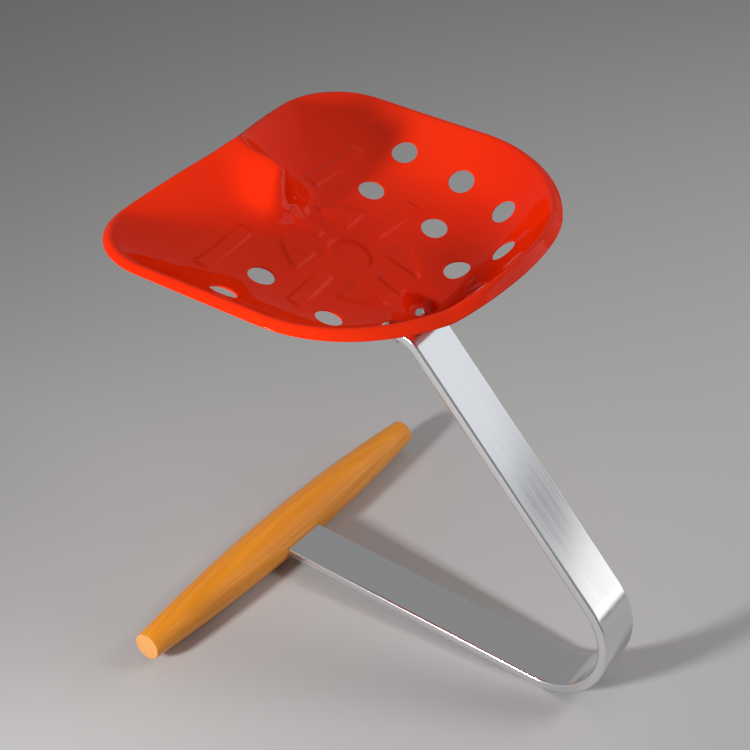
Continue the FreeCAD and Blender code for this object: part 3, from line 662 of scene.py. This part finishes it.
# %% A material and its nodes
class Finish:
    """A material whose nodes are added by one method."""

    def __init__(self, name, **constants):
        self.material = bpy.data.materials.new(name)
        self.material.use_nodes = True
        self.tree = self.material.node_tree
        self.shader = self.tree.nodes["Principled BSDF"]
        for key, value in constants.items():
            self.shader.inputs[key.replace("_", " ")].default_value = value

    def node(self, kind, settings, inputs, output=0):
        """A node by its type, its settings and what its sockets get, as one of its outputs."""
        made = self.tree.nodes.new(kind)
        for key, value in settings.items():
            setattr(made, key, value)
        for key, value in inputs.items():
            if isinstance(value, Value):
                self.tree.links.new(value.socket, made.inputs[key])
            else:
                made.inputs[key].default_value = value
        return Value(self, made.outputs[output])

    def coordinates(self, scale=(1, 1, 1), location=(0, 0, 0)):
        """Object coordinates through a Mapping node."""
        plain = self.node("ShaderNodeTexCoord", {}, {}, "Object")
        return self.node("ShaderNodeMapping", {}, {"Vector": plain, "Scale": scale, "Location": location})

    def noise(self, where, scale, detail, roughness=0.5):
        return self.node("ShaderNodeTexNoise", {}, {"Vector": where, "Scale": scale, "Detail": detail,
                                                    "Roughness": roughness})

    def span(self, value, low, high, new_low, new_high):
        """Move a value from one span to another, held at the ends."""
        return self.node("ShaderNodeMapRange", {}, {"Value": value, "From Min": low, "From Max": high,
                                                    "To Min": new_low, "To Max": new_high})

    def blend(self, factor, first, second):
        """Mix two colours, each a link or three numbers."""
        pair = [value if isinstance(value, Value) else (*value, 1) for value in (first, second)]
        return self.node("ShaderNodeMix", {"data_type": "RGBA"},
                         {"Factor": factor, "A": pair[0], "B": pair[1]}, "Result")

    def bump(self, height, distance, strength):
        self.set("Normal", self.node("ShaderNodeBump", {}, {"Height": height, "Distance": distance,
                                                            "Strength": strength}))

    def set(self, key, value):
        """Let a value drive a socket of the shader."""
        self.tree.links.new(value.socket, self.shader.inputs[key])


# %% [markdown]
# A finished piece rides on a body of the frame, so that it moves with a joint, and it hides the plain solid
# that it stands for.

# %% Dress a piece
def dress(thing, body, node, finish):
    """Let a finished piece ride on a body, stand for its solid and wear its finish."""
    thing.name = node + "_piece"
    thing.data.name = thing.name
    thing.data.materials.clear()
    thing.data.materials.append(finish.material)
    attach(thing, body)
    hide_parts(node)
    triangles = sum(len(face.vertices) - 2 for face in thing.data.polygons)
    print(thing.name, "triangles:", triangles)
    return thing


# %% [markdown]
# ## The enamel
#
# The pan wears a thick, even, orange-red enamel under a high gloss. One plain red with a clear coat would be
# close. Here the red also drifts a little from place to place, and a very small ripple breaks up the
# reflections in the way that baked enamel does.

# %% Enamel
ENAMEL_DEEP, ENAMEL_BRIGHT = (0.80, 0.020, 0.0), (0.86, 0.027, 0.001)
RIPPLE_HEIGHT = 0.02 * MM
enamel = Finish("red_enamel", Roughness=0.5, Specular_IOR_Level=0.0, Coat_Weight=0.42, Coat_Roughness=0.03,
                Coat_IOR=1.5)
where = enamel.coordinates()
drift = enamel.noise(where, 6.0, 2.0)
enamel.set("Base Color", enamel.blend(enamel.span(drift, 0.35, 0.65, 0, 1), ENAMEL_DEEP, ENAMEL_BRIGHT))
ripple = enamel.noise(where, 260.0, 1.0)
enamel.bump(ripple, RIPPLE_HEIGHT, 0.6)
print("enamel's nodes:", len(enamel.tree.nodes))
dress(pan, "seat", "seat_pan", enamel)

# %% [markdown]
# ## The bar
#
# The bar is one strip of flat spring steel. Drawing it as a curve with a bevel profile is quick, but its
# rounded end and its hole would need a mesh anyway. So it is built the way a smith thinks of it: a short
# block is drawn out along the lower leg, round the large bend, up the leg, round the small bend and to its
# tip.

# %% A first block
def just_added(name):
    """The shape that an operator has just added, named, with its place and size applied to its mesh."""
    thing = bpy.context.active_object
    thing.name = name
    bpy.ops.object.transform_apply(location=True, rotation=True, scale=True)
    return thing


def block(name, size, centre=(0, 0, 0)):
    """A box by its size and centre."""
    bpy.ops.mesh.primitive_cube_add(size=1, location=centre, scale=size)
    return just_added(name)


# %% Steps of the smith
BIG_BEND_STEPS = 72
TOP_BEND_STEPS = 20
FIRST_PIECE = 20 * MM
LEAN = Matrix.Rotation(-LOWER_RISE, 4, "X")


def far_face(thing, direction):
    """In edit mode, select only the face that lies furthest in a direction."""
    bpy.ops.mesh.select_all(action="DESELECT")
    bpy.ops.object.mode_set(mode="OBJECT")
    best = max(thing.data.polygons, key=lambda face: face.center.dot(direction))
    best.select = True
    bpy.ops.object.mode_set(mode="EDIT")


def draw_out(travel):
    """Extrude what is selected by a vector."""
    bpy.ops.mesh.extrude_region_move(TRANSFORM_OT_translate={"value": travel})


def bend_round(steps, angle, centre):
    """Spin the selected face upwards and over. The spin turns clockwise about its axis, hence -X."""
    bpy.ops.mesh.spin(steps=steps, angle=angle, center=centre, axis=(-1, 0, 0))


# %% Draw the bar
bar = block("stem_bar", (BAR_WIDTH, FIRST_PIECE, BAR_THICKNESS))
place(bar, Matrix.Translation(bar_start - forward(LOWER_RISE) * FIRST_PIECE / 2) @ LEAN)
only(bar)
bpy.ops.object.mode_set(mode="EDIT")
bpy.ops.mesh.select_mode(type="FACE")
far_face(bar, -forward(LOWER_RISE))
draw_out(-forward(LOWER_RISE) * (LOWER_LEG - FIRST_PIECE))
bend_round(BIG_BEND_STEPS, math.pi - (UPPER_RISE - LOWER_RISE), bend_centre)
draw_out(forward(UPPER_RISE) * UPPER_LEG)
bend_round(TOP_BEND_STEPS, UPPER_RISE - SLOPE, top_bend_centre)
draw_out(forward(SLOPE) * (BEND_TO_BOLT + BOLT_TO_TIP))
bpy.ops.object.mode_set(mode="OBJECT")
bar_tip = bolt_in_bar + forward(SLOPE) * BOLT_TO_TIP
print("drawn bar:", len(bar.data.polygons), "faces, its tip at", rounded(bar_tip, 5))

# %% [markdown]
# The tip's two corners are rounded with a wide bevel. All the long edges then get a small one from a
# modifier, because it finds every edge by its angle. Weighted normals keep the broad faces optically flat,
# which matters on chrome: a soft normal there bends every reflection.

# %% Round the bar's tip
TIP_ROUND = 16.0 * MM
TIP_SEGMENTS = 10
NEARLY = 0.1 * MM


def choose_edges(thing, test):
    """Select only the edges whose two ends pass a test."""
    only(thing)
    bpy.ops.object.mode_set(mode="EDIT")
    bpy.ops.mesh.select_mode(type="EDGE")
    bpy.ops.mesh.select_all(action="DESELECT")
    bpy.ops.object.mode_set(mode="OBJECT")
    points = thing.data.vertices
    for edge in thing.data.edges:
        edge.select = test(points[edge.vertices[0]].co, points[edge.vertices[1]].co)
    bpy.ops.object.mode_set(mode="EDIT")


def at_tip(point):
    """Whether a point lies in the bar's end face."""
    return abs((point - bar_tip).dot(forward(SLOPE))) < NEARLY


choose_edges(bar, lambda a, b: at_tip(a) and at_tip(b) and abs(a.x - b.x) < NEARLY)
bpy.ops.mesh.bevel(offset=TIP_ROUND, segments=TIP_SEGMENTS, affect="EDGES")
bpy.ops.object.mode_set(mode="OBJECT")
print("bar with a round tip:", len(bar.data.polygons), "faces")

# %% Break the long edges and drill the bolt's hole
EDGE_ROUND = 2.4 * MM
BOLT_HOLE = 3.25 * MM
ROD_SIDES = 48
BEVEL_SEGMENTS = 4


def break_edges(thing, width, degrees):
    """Bevel every edge that is sharper than an angle."""
    return apply_modifier(thing, "BEVEL", width=width, segments=BEVEL_SEGMENTS, limit_method="ANGLE",
                          angle_limit=math.radians(degrees))


def rod(name, radius, length, centre=(0, 0, 0)):
    """A cylinder along Z by its middle."""
    bpy.ops.mesh.primitive_cylinder_add(vertices=ROD_SIDES, radius=radius, depth=length, location=centre)
    return just_added(name)


def on_bolt(point, downward=False):
    """A frame on the bolt's axis, with Z up along the bolt or down along it."""
    z = -bolt_axis if downward else bolt_axis
    x = Vector((1, 0, 0))
    y = z.cross(x)
    turn = Matrix((x, y, z)).transposed().to_4x4()
    return Matrix.Translation(point) @ turn


break_edges(bar, EDGE_ROUND, 60)
combine(bar, place(rod("hole", BOLT_HOLE, 3 * BAR_THICKNESS), on_bolt(bolt_in_bar)))
print("bar:", len(bar.data.polygons), "faces")

# %% [markdown]
# ## The wooden crossbar
#
# The crossbar is turned on a lathe: its outline is one shallow arc with lightly rounded ends, so it is a
# section spun about its own length. The slot for the bar and the sinks for two screws are cut afterwards,
# in the same order as at the bench.

# %% Turn the crossbar
CROSSBAR_HALF = 232.0 * MM
MIDDLE_RADIUS = 25.87 * MM
END_RADIUS = 14.77 * MM
END_ROUND = 1.2 * MM
CROSSBAR_BACK = 340.1 * MM
SLOT_GAP = 0.15 * MM
SLOT_END_GAP = 0.3 * MM
ARC_STEPS = 56
END_ROUND_STEPS = 4
CROSSBAR_SIDES = 96
crossbar_centre = Vector((0, bend_centre.y - CROSSBAR_BACK, MIDDLE_RADIUS))
crown = MIDDLE_RADIUS - END_RADIUS
arc_radius = (CROSSBAR_HALF ** 2 + crown ** 2) / (2 * crown)


def crossbar_radius(x):
    """The arc's radius at a place along the crossbar."""
    return MIDDLE_RADIUS - arc_radius + math.sqrt(arc_radius ** 2 - x ** 2)


def crossbar_section():
    """From the middle of one end over the arc to the middle of the other."""
    shoulder = CROSSBAR_HALF - END_ROUND
    corner_z = crossbar_radius(shoulder) - END_ROUND
    left = [(-shoulder - END_ROUND * math.cos(t), 0, corner_z + END_ROUND * math.sin(t))
            for t in np.linspace(0, math.pi / 2, END_ROUND_STEPS + 1)]
    arc = [(x, 0, crossbar_radius(x)) for x in np.linspace(-shoulder, shoulder, ARC_STEPS)[1:-1]]
    right = [(-x, y, z) for x, y, z in left[::-1]]
    return [(-CROSSBAR_HALF, 0, 0)] + left + arc + right + [(CROSSBAR_HALF, 0, 0)]


crossbar = turned("crossbar", crossbar_section(), CROSSBAR_SIDES, axis=(1, 0, 0))
place(crossbar, Matrix.Translation(crossbar_centre))
slot_size = (BAR_WIDTH + 2 * SLOT_GAP, 2 * MIDDLE_RADIUS, BAR_THICKNESS + 2 * SLOT_GAP)
slot_front = bar_start + forward(LOWER_RISE) * SLOT_END_GAP
slot_centre = slot_front - forward(LOWER_RISE) * MIDDLE_RADIUS
combine(crossbar, place(block("slot", slot_size), Matrix.Translation(slot_centre) @ LEAN))
print("crossbar:", len(crossbar.data.polygons), "faces")

# %% [markdown]
# Two countersunk screws come up from below, through the wood and the bar. One sink tool, one screw and one
# drill are made, and each is copied to its two places. A Mirror modifier could make the second copy, but it
# would also mirror a thread, so copies are the safer habit.

# %% Sizes of the screws
SCREW_RADIUS = 2.25 * MM
SCREW_HEAD = 4.4 * MM
SCREW_SPACING = 30.0 * MM
SCREW_LENGTH = 36.0 * MM
SCREW_SINK = 0.8 * MM
SCREW_RIM = 0.25 * MM
SCREW_FACE = 0.94
SCREW_SIDES = 40
SCREW_HOLE = 2.35 * MM
CROSS = (4.4 * MM, 0.9 * MM, 3.0 * MM)
head_depth = SCREW_HEAD - SCREW_RADIUS
head_level = MIDDLE_RADIUS - SCREW_SINK
print("heads lie", head_level, "m below the crossbar's middle")

# %% Copies in their places
def copy_of(thing):
    """A copy with its own mesh."""
    twin = thing.copy()
    twin.data = thing.data.copy()
    bpy.context.scene.collection.objects.link(twin)
    return twin


def screw_place(end):
    """A screw's own frame: its head below, its length square to the lower leg."""
    across = Vector((end * SCREW_SPACING / 2, 0, 0))
    return Matrix.Translation(crossbar_centre + across - upward(LOWER_RISE) * head_level) @ LEAN


# %% Sinks and screws
shank = [(SCREW_RADIUS, 0, head_depth), (SCREW_RADIUS, 0, SCREW_LENGTH), (0, 0, SCREW_LENGTH)]
sink_mouth = [(0, 0, -2 * SCREW_SINK), (SCREW_HEAD, 0, -2 * SCREW_SINK), (SCREW_HEAD, 0, 0)]
screw_head = [(0, 0, 0), (SCREW_HEAD * SCREW_FACE, 0, 0), (SCREW_HEAD, 0, SCREW_RIM)]
sink = turned("sink", sink_mouth + shank, SCREW_SIDES)
screw = turned("screw", screw_head + shank, SCREW_SIDES)
combine(screw, block("cross", CROSS))
combine(screw, block("cross", (CROSS[1], CROSS[0], CROSS[2])))
drill = rod("drill", SCREW_HOLE, SCREW_LENGTH, (0, 0, SCREW_LENGTH / 2))
sinks, screws, drills = [join([place(copy_of(thing), screw_place(end)) for end in (-1, 1)])
                         for thing in (sink, screw, drill)]
for done in (sink, screw, drill):
    bpy.data.objects.remove(done)
combine(crossbar, sinks)
combine(bar, drills)
print("screws:", len(screws.data.polygons), "faces")

# %% Shade the bar, the crossbar and the screws
for piece in (bar, crossbar):
    smooth(piece, 34)
apply_modifier(bar, "WEIGHTED_NORMAL", keep_sharp=True)
smooth(screws, 30)
print("crossbar with its sinks:", len(crossbar.data.polygons), "faces")

# %% [markdown]
# ## Bolt, washers and wing nut
#
# These are small, but from below and behind they are the only mechanism that the stool has. The bolt has a
# domed head with a slot for a coin or a driver. A rubber washer keeps the pan off the bar, and under the
# bar a plate washer, a split spring washer and a wing nut hold it all. Each is a turned section with broken
# edges.

# %% Sizes of the bolt
BOLT_RADIUS = 3.0 * MM
BOLT_LENGTH = 36.5 * MM
HEAD_RADIUS = 7.5 * MM
HEAD_HEIGHT = 4.8 * MM
HEAD_LIP = 0.2 * MM
POINT_TAPER = 0.6 * MM
POINT_LENGTH = 1.4 * MM
DRIVER_SLOT = (4 * HEAD_RADIUS, 1.6 * MM, HEAD_HEIGHT)
SLOT_DEPTH = 2.0 * MM
SLOT_ANGLE = math.radians(16)
THREAD_PITCH = 1.0 * MM
THREAD_DEPTH = 0.3 * MM
THREADED = 16.0 * MM
DOME_STEPS = 21
BOLT_SIDES = 64
print("bolt:", BOLT_LENGTH, "m under its head")

# %% The bolt's section
def bolt_section():
    """Dome, lip, shank, thread ridges and a tapered point."""
    dome = (HEAD_RADIUS ** 2 + HEAD_HEIGHT ** 2) / (2 * HEAD_HEIGHT)
    widest = math.asin(HEAD_RADIUS / dome)
    head = [(dome * math.sin(t), 0, HEAD_HEIGHT - dome + dome * math.cos(t))
            for t in np.linspace(0, widest, DOME_STEPS + 1)[:-1]]
    lip = [(HEAD_RADIUS, 0, HEAD_LIP), (HEAD_RADIUS - HEAD_LIP, 0, 0)]
    shank = [(BOLT_RADIUS, 0, 0), (BOLT_RADIUS, 0, THREADED - BOLT_LENGTH)]
    ridges = []
    level = THREADED - BOLT_LENGTH
    while level > POINT_LENGTH - BOLT_LENGTH:
        ridges += [(BOLT_RADIUS - THREAD_DEPTH, 0, level - THREAD_PITCH / 2),
                   (BOLT_RADIUS, 0, level - THREAD_PITCH)]
        level -= THREAD_PITCH
    end = [(BOLT_RADIUS - POINT_TAPER, 0, -BOLT_LENGTH), (0, 0, -BOLT_LENGTH)]
    return head + lip + shank + ridges + end


# %% Turn the bolt and cut its slot
bolt = turned("seat_bolt", bolt_section(), BOLT_SIDES)
slot = block("slot", DRIVER_SLOT, (0, 0, HEAD_HEIGHT - SLOT_DEPTH + DRIVER_SLOT[2] / 2))
combine(bolt, place(slot, Matrix.Rotation(SLOT_ANGLE, 4, "Z")))
place(bolt, on_bolt(pan_floor))
smooth(bolt, 26)
print("bolt:", len(bolt.data.polygons), "faces")

# %% [markdown]
# A torus or a pipe would make a washer at once, but neither has the right section. So each is a small closed
# section with rounded corners, spun round. The spring washer is spun a little short of a full turn, and its
# two open ends are filled.

# %% Washers
BORE = 3.05 * MM
RING_SIDES = 64
RING_CORNER_STEPS = 3


def ring_section(outer, height, radius):
    """A ring's section with rounded corners."""
    points = []
    corners = ((outer, 0, -90), (outer, height, 0), (BORE, height, 90), (BORE, 0, 180))
    for x, z, start in corners:
        inner_x = x + (radius if x < (outer + BORE) / 2 else -radius)
        inner_z = z + (radius if z < height / 2 else -radius)
        for t in np.linspace(0, 90, RING_CORNER_STEPS + 1):
            angle = math.radians(start + t)
            points.append((inner_x + radius * math.cos(angle), 0, inner_z + radius * math.sin(angle)))
    return points


def washer(name, outer, height, radius, angle=FULL_TURN):
    """A ring, or a split ring where the angle is less than a full turn."""
    made = turned(name, ring_section(outer, height, radius), RING_SIDES, angle=angle, closed=True)
    if angle < FULL_TURN:
        edit_all(made)
        bpy.ops.mesh.fill_holes(sides=0)
        close_piece()
    return smooth(made, 40)


# %% Sizes and places of the washers
RUBBER_OUTER = 7.5 * MM
RUBBER_ROUND = 0.7 * MM
PLATE = 1.2 * MM
PLATE_OUTER = 6.5 * MM
PLATE_ROUND = 0.25 * MM
SPRING = 1.6 * MM
SPRING_OUTER = 5.7 * MM
SPRING_ROUND = 0.2 * MM
SPRING_MIDDLE = 4.4 * MM
SPLIT = 1.5 * MM
SPRING_GAP = 2 * math.asin(SPLIT / 2 / SPRING_MIDDLE)
seat_washer = place(washer("seat_washer", RUBBER_OUTER, RUBBER, RUBBER_ROUND), on_bolt(bar_top))
plate_face = bar_under - bolt_axis * PLATE
plate_washer = place(washer("plate_washer", PLATE_OUTER, PLATE, PLATE_ROUND), on_bolt(plate_face))
nut_face = plate_face - bolt_axis * SPRING
split_ring = washer("spring_washer", SPRING_OUTER, SPRING, SPRING_ROUND, FULL_TURN - SPRING_GAP)
spring_washer = place(split_ring, on_bolt(nut_face) @ Matrix.Rotation(SPRING_GAP / 2, 4, "Z"))
print("the nut's face:", rounded(nut_face, 5))

# %% [markdown]
# The wing nut is a short tapered hub with two ears. An ear is a flat outline, filled, extruded to its
# thickness and bevelled, as a stamped or cast ear has no sharp edge. The second is a copy turned half round.
# Both are joined to the hub, and the bore is cut last so that nothing is left in it.

# %% Sizes of the wing nut
HUB_BASE = 6.4 * MM
HUB_TOP = 5.1 * MM
HUB_HEIGHT = 8.5 * MM
WING_TIP = 4.3 * MM
WING_TIP_STEPS = 16
WING_REACH = 16.0 * MM
WING_TOP = 15.0 * MM
WING_THICKNESS = 3.4 * MM
WING_ROUND = 0.8 * MM
WING_ROOT = Vector((2.9, 0, 4.7)) * MM
WING_ROOT_HALF = 3.1 * MM
NUT_TURN = math.radians(35)
BROKEN = 0.35 * MM
NUT_SIDES = 48
print("nut:", HUB_HEIGHT, "m high")

# %% One ear
def wing_outline():
    """A tapered ear with a round tip, seen from the side."""
    tip = Vector((WING_REACH - WING_TIP, 0, WING_TOP - WING_TIP))
    line = (tip - WING_ROOT).normalized()
    square = Vector((-line.z, 0, line.x))
    round_tip = [tip + WING_TIP * (square * math.cos(t) + line * math.sin(t))
                 for t in np.linspace(0, math.pi, WING_TIP_STEPS + 1)]
    return [WING_ROOT + square * WING_ROOT_HALF] + round_tip + [WING_ROOT - square * WING_ROOT_HALF]


def wing():
    """The ear as a plate of even thickness."""
    plate = outline("wing", wing_outline(), closed=True)
    edit_all(plate)
    bpy.ops.mesh.edge_face_add()
    draw_out((0, WING_THICKNESS, 0))
    close_piece()
    return place(plate, Matrix.Translation((0, -WING_THICKNESS / 2, 0)))


# %% Hub and ears
hub_section = [(BORE, 0, BROKEN), (BORE + BROKEN, 0, 0), (HUB_BASE - BROKEN, 0, 0), (HUB_BASE, 0, BROKEN),
               (HUB_TOP, 0, HUB_HEIGHT - BROKEN), (HUB_TOP - BROKEN, 0, HUB_HEIGHT),
               (BORE + BROKEN, 0, HUB_HEIGHT), (BORE, 0, HUB_HEIGHT - BROKEN)]
first_wing = wing()
second_wing = place(copy_of(first_wing), Matrix.Rotation(math.pi, 4, "Z"))
wing_nut = turned("wing_nut", hub_section, NUT_SIDES, closed=True)
for part in (first_wing, second_wing):
    break_edges(part, WING_ROUND, 50)
    combine(wing_nut, part, "UNION")
combine(wing_nut, rod("bore", BORE, 4 * HUB_HEIGHT))
place(wing_nut, on_bolt(nut_face, downward=True) @ Matrix.Rotation(NUT_TURN, 4, "Z"))
smooth(wing_nut, 36)
print("wing nut:", len(wing_nut.data.polygons), "faces")

# %% [markdown]
# ## Chrome
#
# The bar is polished and plated. Chrome shows little of its own: it shows the room. What tells it from a
# mirror is the grinding under the plating, which leaves faint streaks along the strip. The strip lies in
# one plane, so streaks that depend on the place across it follow every bend.

# %% Chrome of the bar
# The first noise changes fast across the strip and slowly along it, which makes the streaks.
GRIND_HEIGHT = 0.012 * MM
chrome = Finish("chrome_bar", Metallic=1.0, Base_Color=(0.80, 0.80, 0.815, 1), Roughness=0.15)
across = chrome.noise(chrome.coordinates(scale=(520, 3.0, 3.0)), 1.0, 4.0, 0.62)
cloud = chrome.noise(chrome.coordinates(scale=(26, 7, 7)), 1.0, 2.0)
chrome.set("Roughness", chrome.span(across * 0.6 + cloud * 0.4, 0.3, 0.7, 0.10, 0.21))
chrome.bump(across, GRIND_HEIGHT, 0.5)
print("chrome's nodes:", len(chrome.tree.nodes))

# %% [markdown]
# The bolt, washers, screws and nut are zinc plated: rougher and greyer than the chrome, with a fine speckle.
# One finish serves them all, because such parts come out of one bath. The rubber is nearly black and matt.

# %% Plated steel and rubber
SPECK_HEIGHT = 0.02 * MM
GRIT_HEIGHT = 0.04 * MM
steel = Finish("plated_steel", Metallic=1.0, Base_Color=(0.74, 0.74, 0.75, 1), Roughness=0.24)
speck = steel.noise(steel.coordinates(), 900.0, 3.0)
steel.set("Roughness", steel.span(speck, 0.3, 0.7, 0.18, 0.32))
steel.bump(speck, SPECK_HEIGHT, 0.4)
rubber = Finish("black_rubber", Base_Color=(0.022, 0.022, 0.023, 1), Roughness=0.62)
grit = rubber.noise(rubber.coordinates(), 1400.0, 2.0)
rubber.set("Roughness", rubber.span(grit, 0.3, 0.7, 0.52, 0.7))
rubber.bump(grit, GRIT_HEIGHT, 0.6)
print("plated steel's nodes:", len(steel.tree.nodes), "rubber's nodes:", len(rubber.tree.nodes))

# %% [markdown]
# ## Lacquered wood
#
# The wood is straight-grained and honey coloured under a clear lacquer. Grain is a property of the block
# that the crossbar was turned from: rings round an axis somewhere beside it, cut through by the lathe. So
# the pattern is made in the solid, and the ends show arcs where the sides show lines. A stretched picture of
# boards would be quicker, but it would slide over the round shape.

# %% Wood of the crossbar
# How far from the middle, in metres, the side's colour gives way to end grain.
END_GRAIN = (0.2306, 0.2318)
PORE_HEIGHT = 0.05 * MM
SIDE_DARK, SIDE_LIGHT = (0.80, 0.265, 0.014), (0.93, 0.350, 0.024)
END_DARK, END_LIGHT = (0.64, 0.27, 0.07), (0.74, 0.35, 0.105)
wood = Finish("lacquered_wood", Specular_IOR_Level=0.2, Coat_Weight=0.45, Coat_Roughness=0.09, Coat_IOR=1.5)
block_place = wood.coordinates(scale=(0.22, 1, 1), location=(0, 0.215, 0.03))
rings = wood.node("ShaderNodeTexWave", {"wave_type": "RINGS", "rings_direction": "X"},
                  {"Vector": block_place, "Scale": 62.0, "Distortion": 1.6, "Detail": 2.0,
                   "Detail Scale": 1.2}, "Fac")
fibre = wood.noise(wood.coordinates(scale=(7, 420, 420)), 1.0, 4.0, 0.6)
streak = wood.noise(wood.coordinates(scale=(2.2, 75, 75)), 1.0, 3.0, 0.55)
grain = wood.span(rings * 0.16 + streak * 0.54 + fibre * 0.3, 0.3, 0.7, 0, 1)
side_colour = wood.blend(grain, SIDE_DARK, SIDE_LIGHT)
place_along = wood.node("ShaderNodeSeparateXYZ", {}, {"Vector": wood.coordinates()}, "X")
end_face = wood.span(place_along.maths("ABSOLUTE", place_along), *END_GRAIN, 0, 1)
end_colour = wood.blend(rings, END_DARK, END_LIGHT)
wood.set("Base Color", wood.blend(end_face, side_colour, end_colour))
wood.set("Roughness", wood.span(grain, 0, 1, 0.46, 0.36))
wood.bump(fibre, PORE_HEIGHT, 0.35)
print("wood's nodes:", len(wood.tree.nodes))

# %% Dress the pieces
dress(bar, "stand", "stem_bar", chrome)
dress(crossbar, "stand", "crossbar", wood)
dress(screws, "stand", "crossbar_screws", steel)
dress(plate_washer, "stand", "plate_washer", steel)
dress(spring_washer, "stand", "spring_washer", steel)
dress(seat_washer, "seat", "seat_washer", rubber)
dress(bolt, "seat", "seat_bolt", steel)
dress(wing_nut, "nut", "wing_nut", steel)

# %% [markdown]
# ## Studio
#
# The main lamp is small and low on the sitter's left, so its light reaches the pan's far wall and leaves
# most of the bowl to the soft lamps, and the crossbar throws a clear shadow. Its cone is narrowed to keep the
# floor beside it from glaring. Two dim cards stand behind the stool. The bar's upper leg mirrors them one
# above the other, which gives chrome its bright and dark zones. A picture of a real room on the world would
# do the same with less control.

# %% Floor
FLOOR_SIZE = 16
bpy.ops.mesh.primitive_plane_add(size=FLOOR_SIZE, location=(0, 0, 0))
floor = bpy.context.active_object
floor.name = "floor"
pale = Finish("pale_floor", Base_Color=(0.52, 0.515, 0.51, 1), Roughness=0.7)
floor.data.materials.append(pale.material)
print("floor:", FLOOR_SIZE, "m square")

# %% Lamps
TARGET = Vector((0, 0, 0.25))


def lamp(name, position, width, height, watts, in_reflections=True, colour=(1, 1, 1), spread=180):
    """A soft rectangular lamp that looks at the stool, with its cone in degrees."""
    data = bpy.data.lights.new(name, "AREA")
    data.shape = "RECTANGLE"
    data.size = width
    data.size_y = height
    data.energy = watts
    data.color = colour
    data.spread = math.radians(spread)
    lamp_object = bpy.data.objects.new(name, data)
    lamp_object.location = position
    away = Vector(position) - TARGET
    lamp_object.rotation_euler = away.to_track_quat("Z", "Y").to_euler()
    lamp_object.visible_glossy = in_reflections
    bpy.context.scene.collection.objects.link(lamp_object)


lamp("main_lamp", (1.48, -0.32, 0.68), 0.2, 0.2, 8.6, spread=100)
lamp("back_lamp", (-1.05, 1.35, 1.85), 0.7, 0.7, 16, in_reflections=False)
lamp("overhead_lamp", (-0.2, 0.1, 2.7), 1.6, 1.6, 8, in_reflections=False)
lamp("upper_card", (-1.70, 1.45, 1.62), 2.4, 1.2, 5.6, colour=(0.92, 0.96, 1.0))
lamp("lower_card", (-1.75, 1.75, 0.52), 2.4, 0.64, 5.2)

# %% [markdown]
# The world beyond the floor is the studio's pale walls. They give the stool only a little light, look
# brighter in its reflections and brightest to the camera, so the background is pale without washing out the
# shade. Light Path tells one kind of ray from another.

# %% World
ROOM_COLOUR = (0.80, 0.81, 0.82, 1)
ROOM_LIGHT = 0.13
ROOM_IN_REFLECTIONS = 0.36
ROOM_IN_VIEW = 0.75
world = bpy.data.worlds.new("studio")
world.use_nodes = True
nodes, links = world.node_tree.nodes, world.node_tree.links


def room(shader, strength):
    """Walls of one strength."""
    shader.inputs["Color"].default_value = ROOM_COLOUR
    shader.inputs["Strength"].default_value = strength
    return shader


seen = room(nodes["Background"], ROOM_LIGHT)
ray = nodes.new("ShaderNodeLightPath")
for kind, strength in (("Is Glossy Ray", ROOM_IN_REFLECTIONS), ("Is Camera Ray", ROOM_IN_VIEW)):
    either = nodes.new("ShaderNodeMixShader")
    links.new(ray.outputs[kind], either.inputs["Fac"])
    links.new(seen.outputs[0], either.inputs[1])
    links.new(room(nodes.new("ShaderNodeBackground"), strength).outputs[0], either.inputs[2])
    seen = either
links.new(seen.outputs[0], nodes["World Output"].inputs["Surface"])
bpy.context.scene.world = world
bpy.context.scene.view_settings.view_transform = "Standard"
print("world's nodes:", len(nodes))
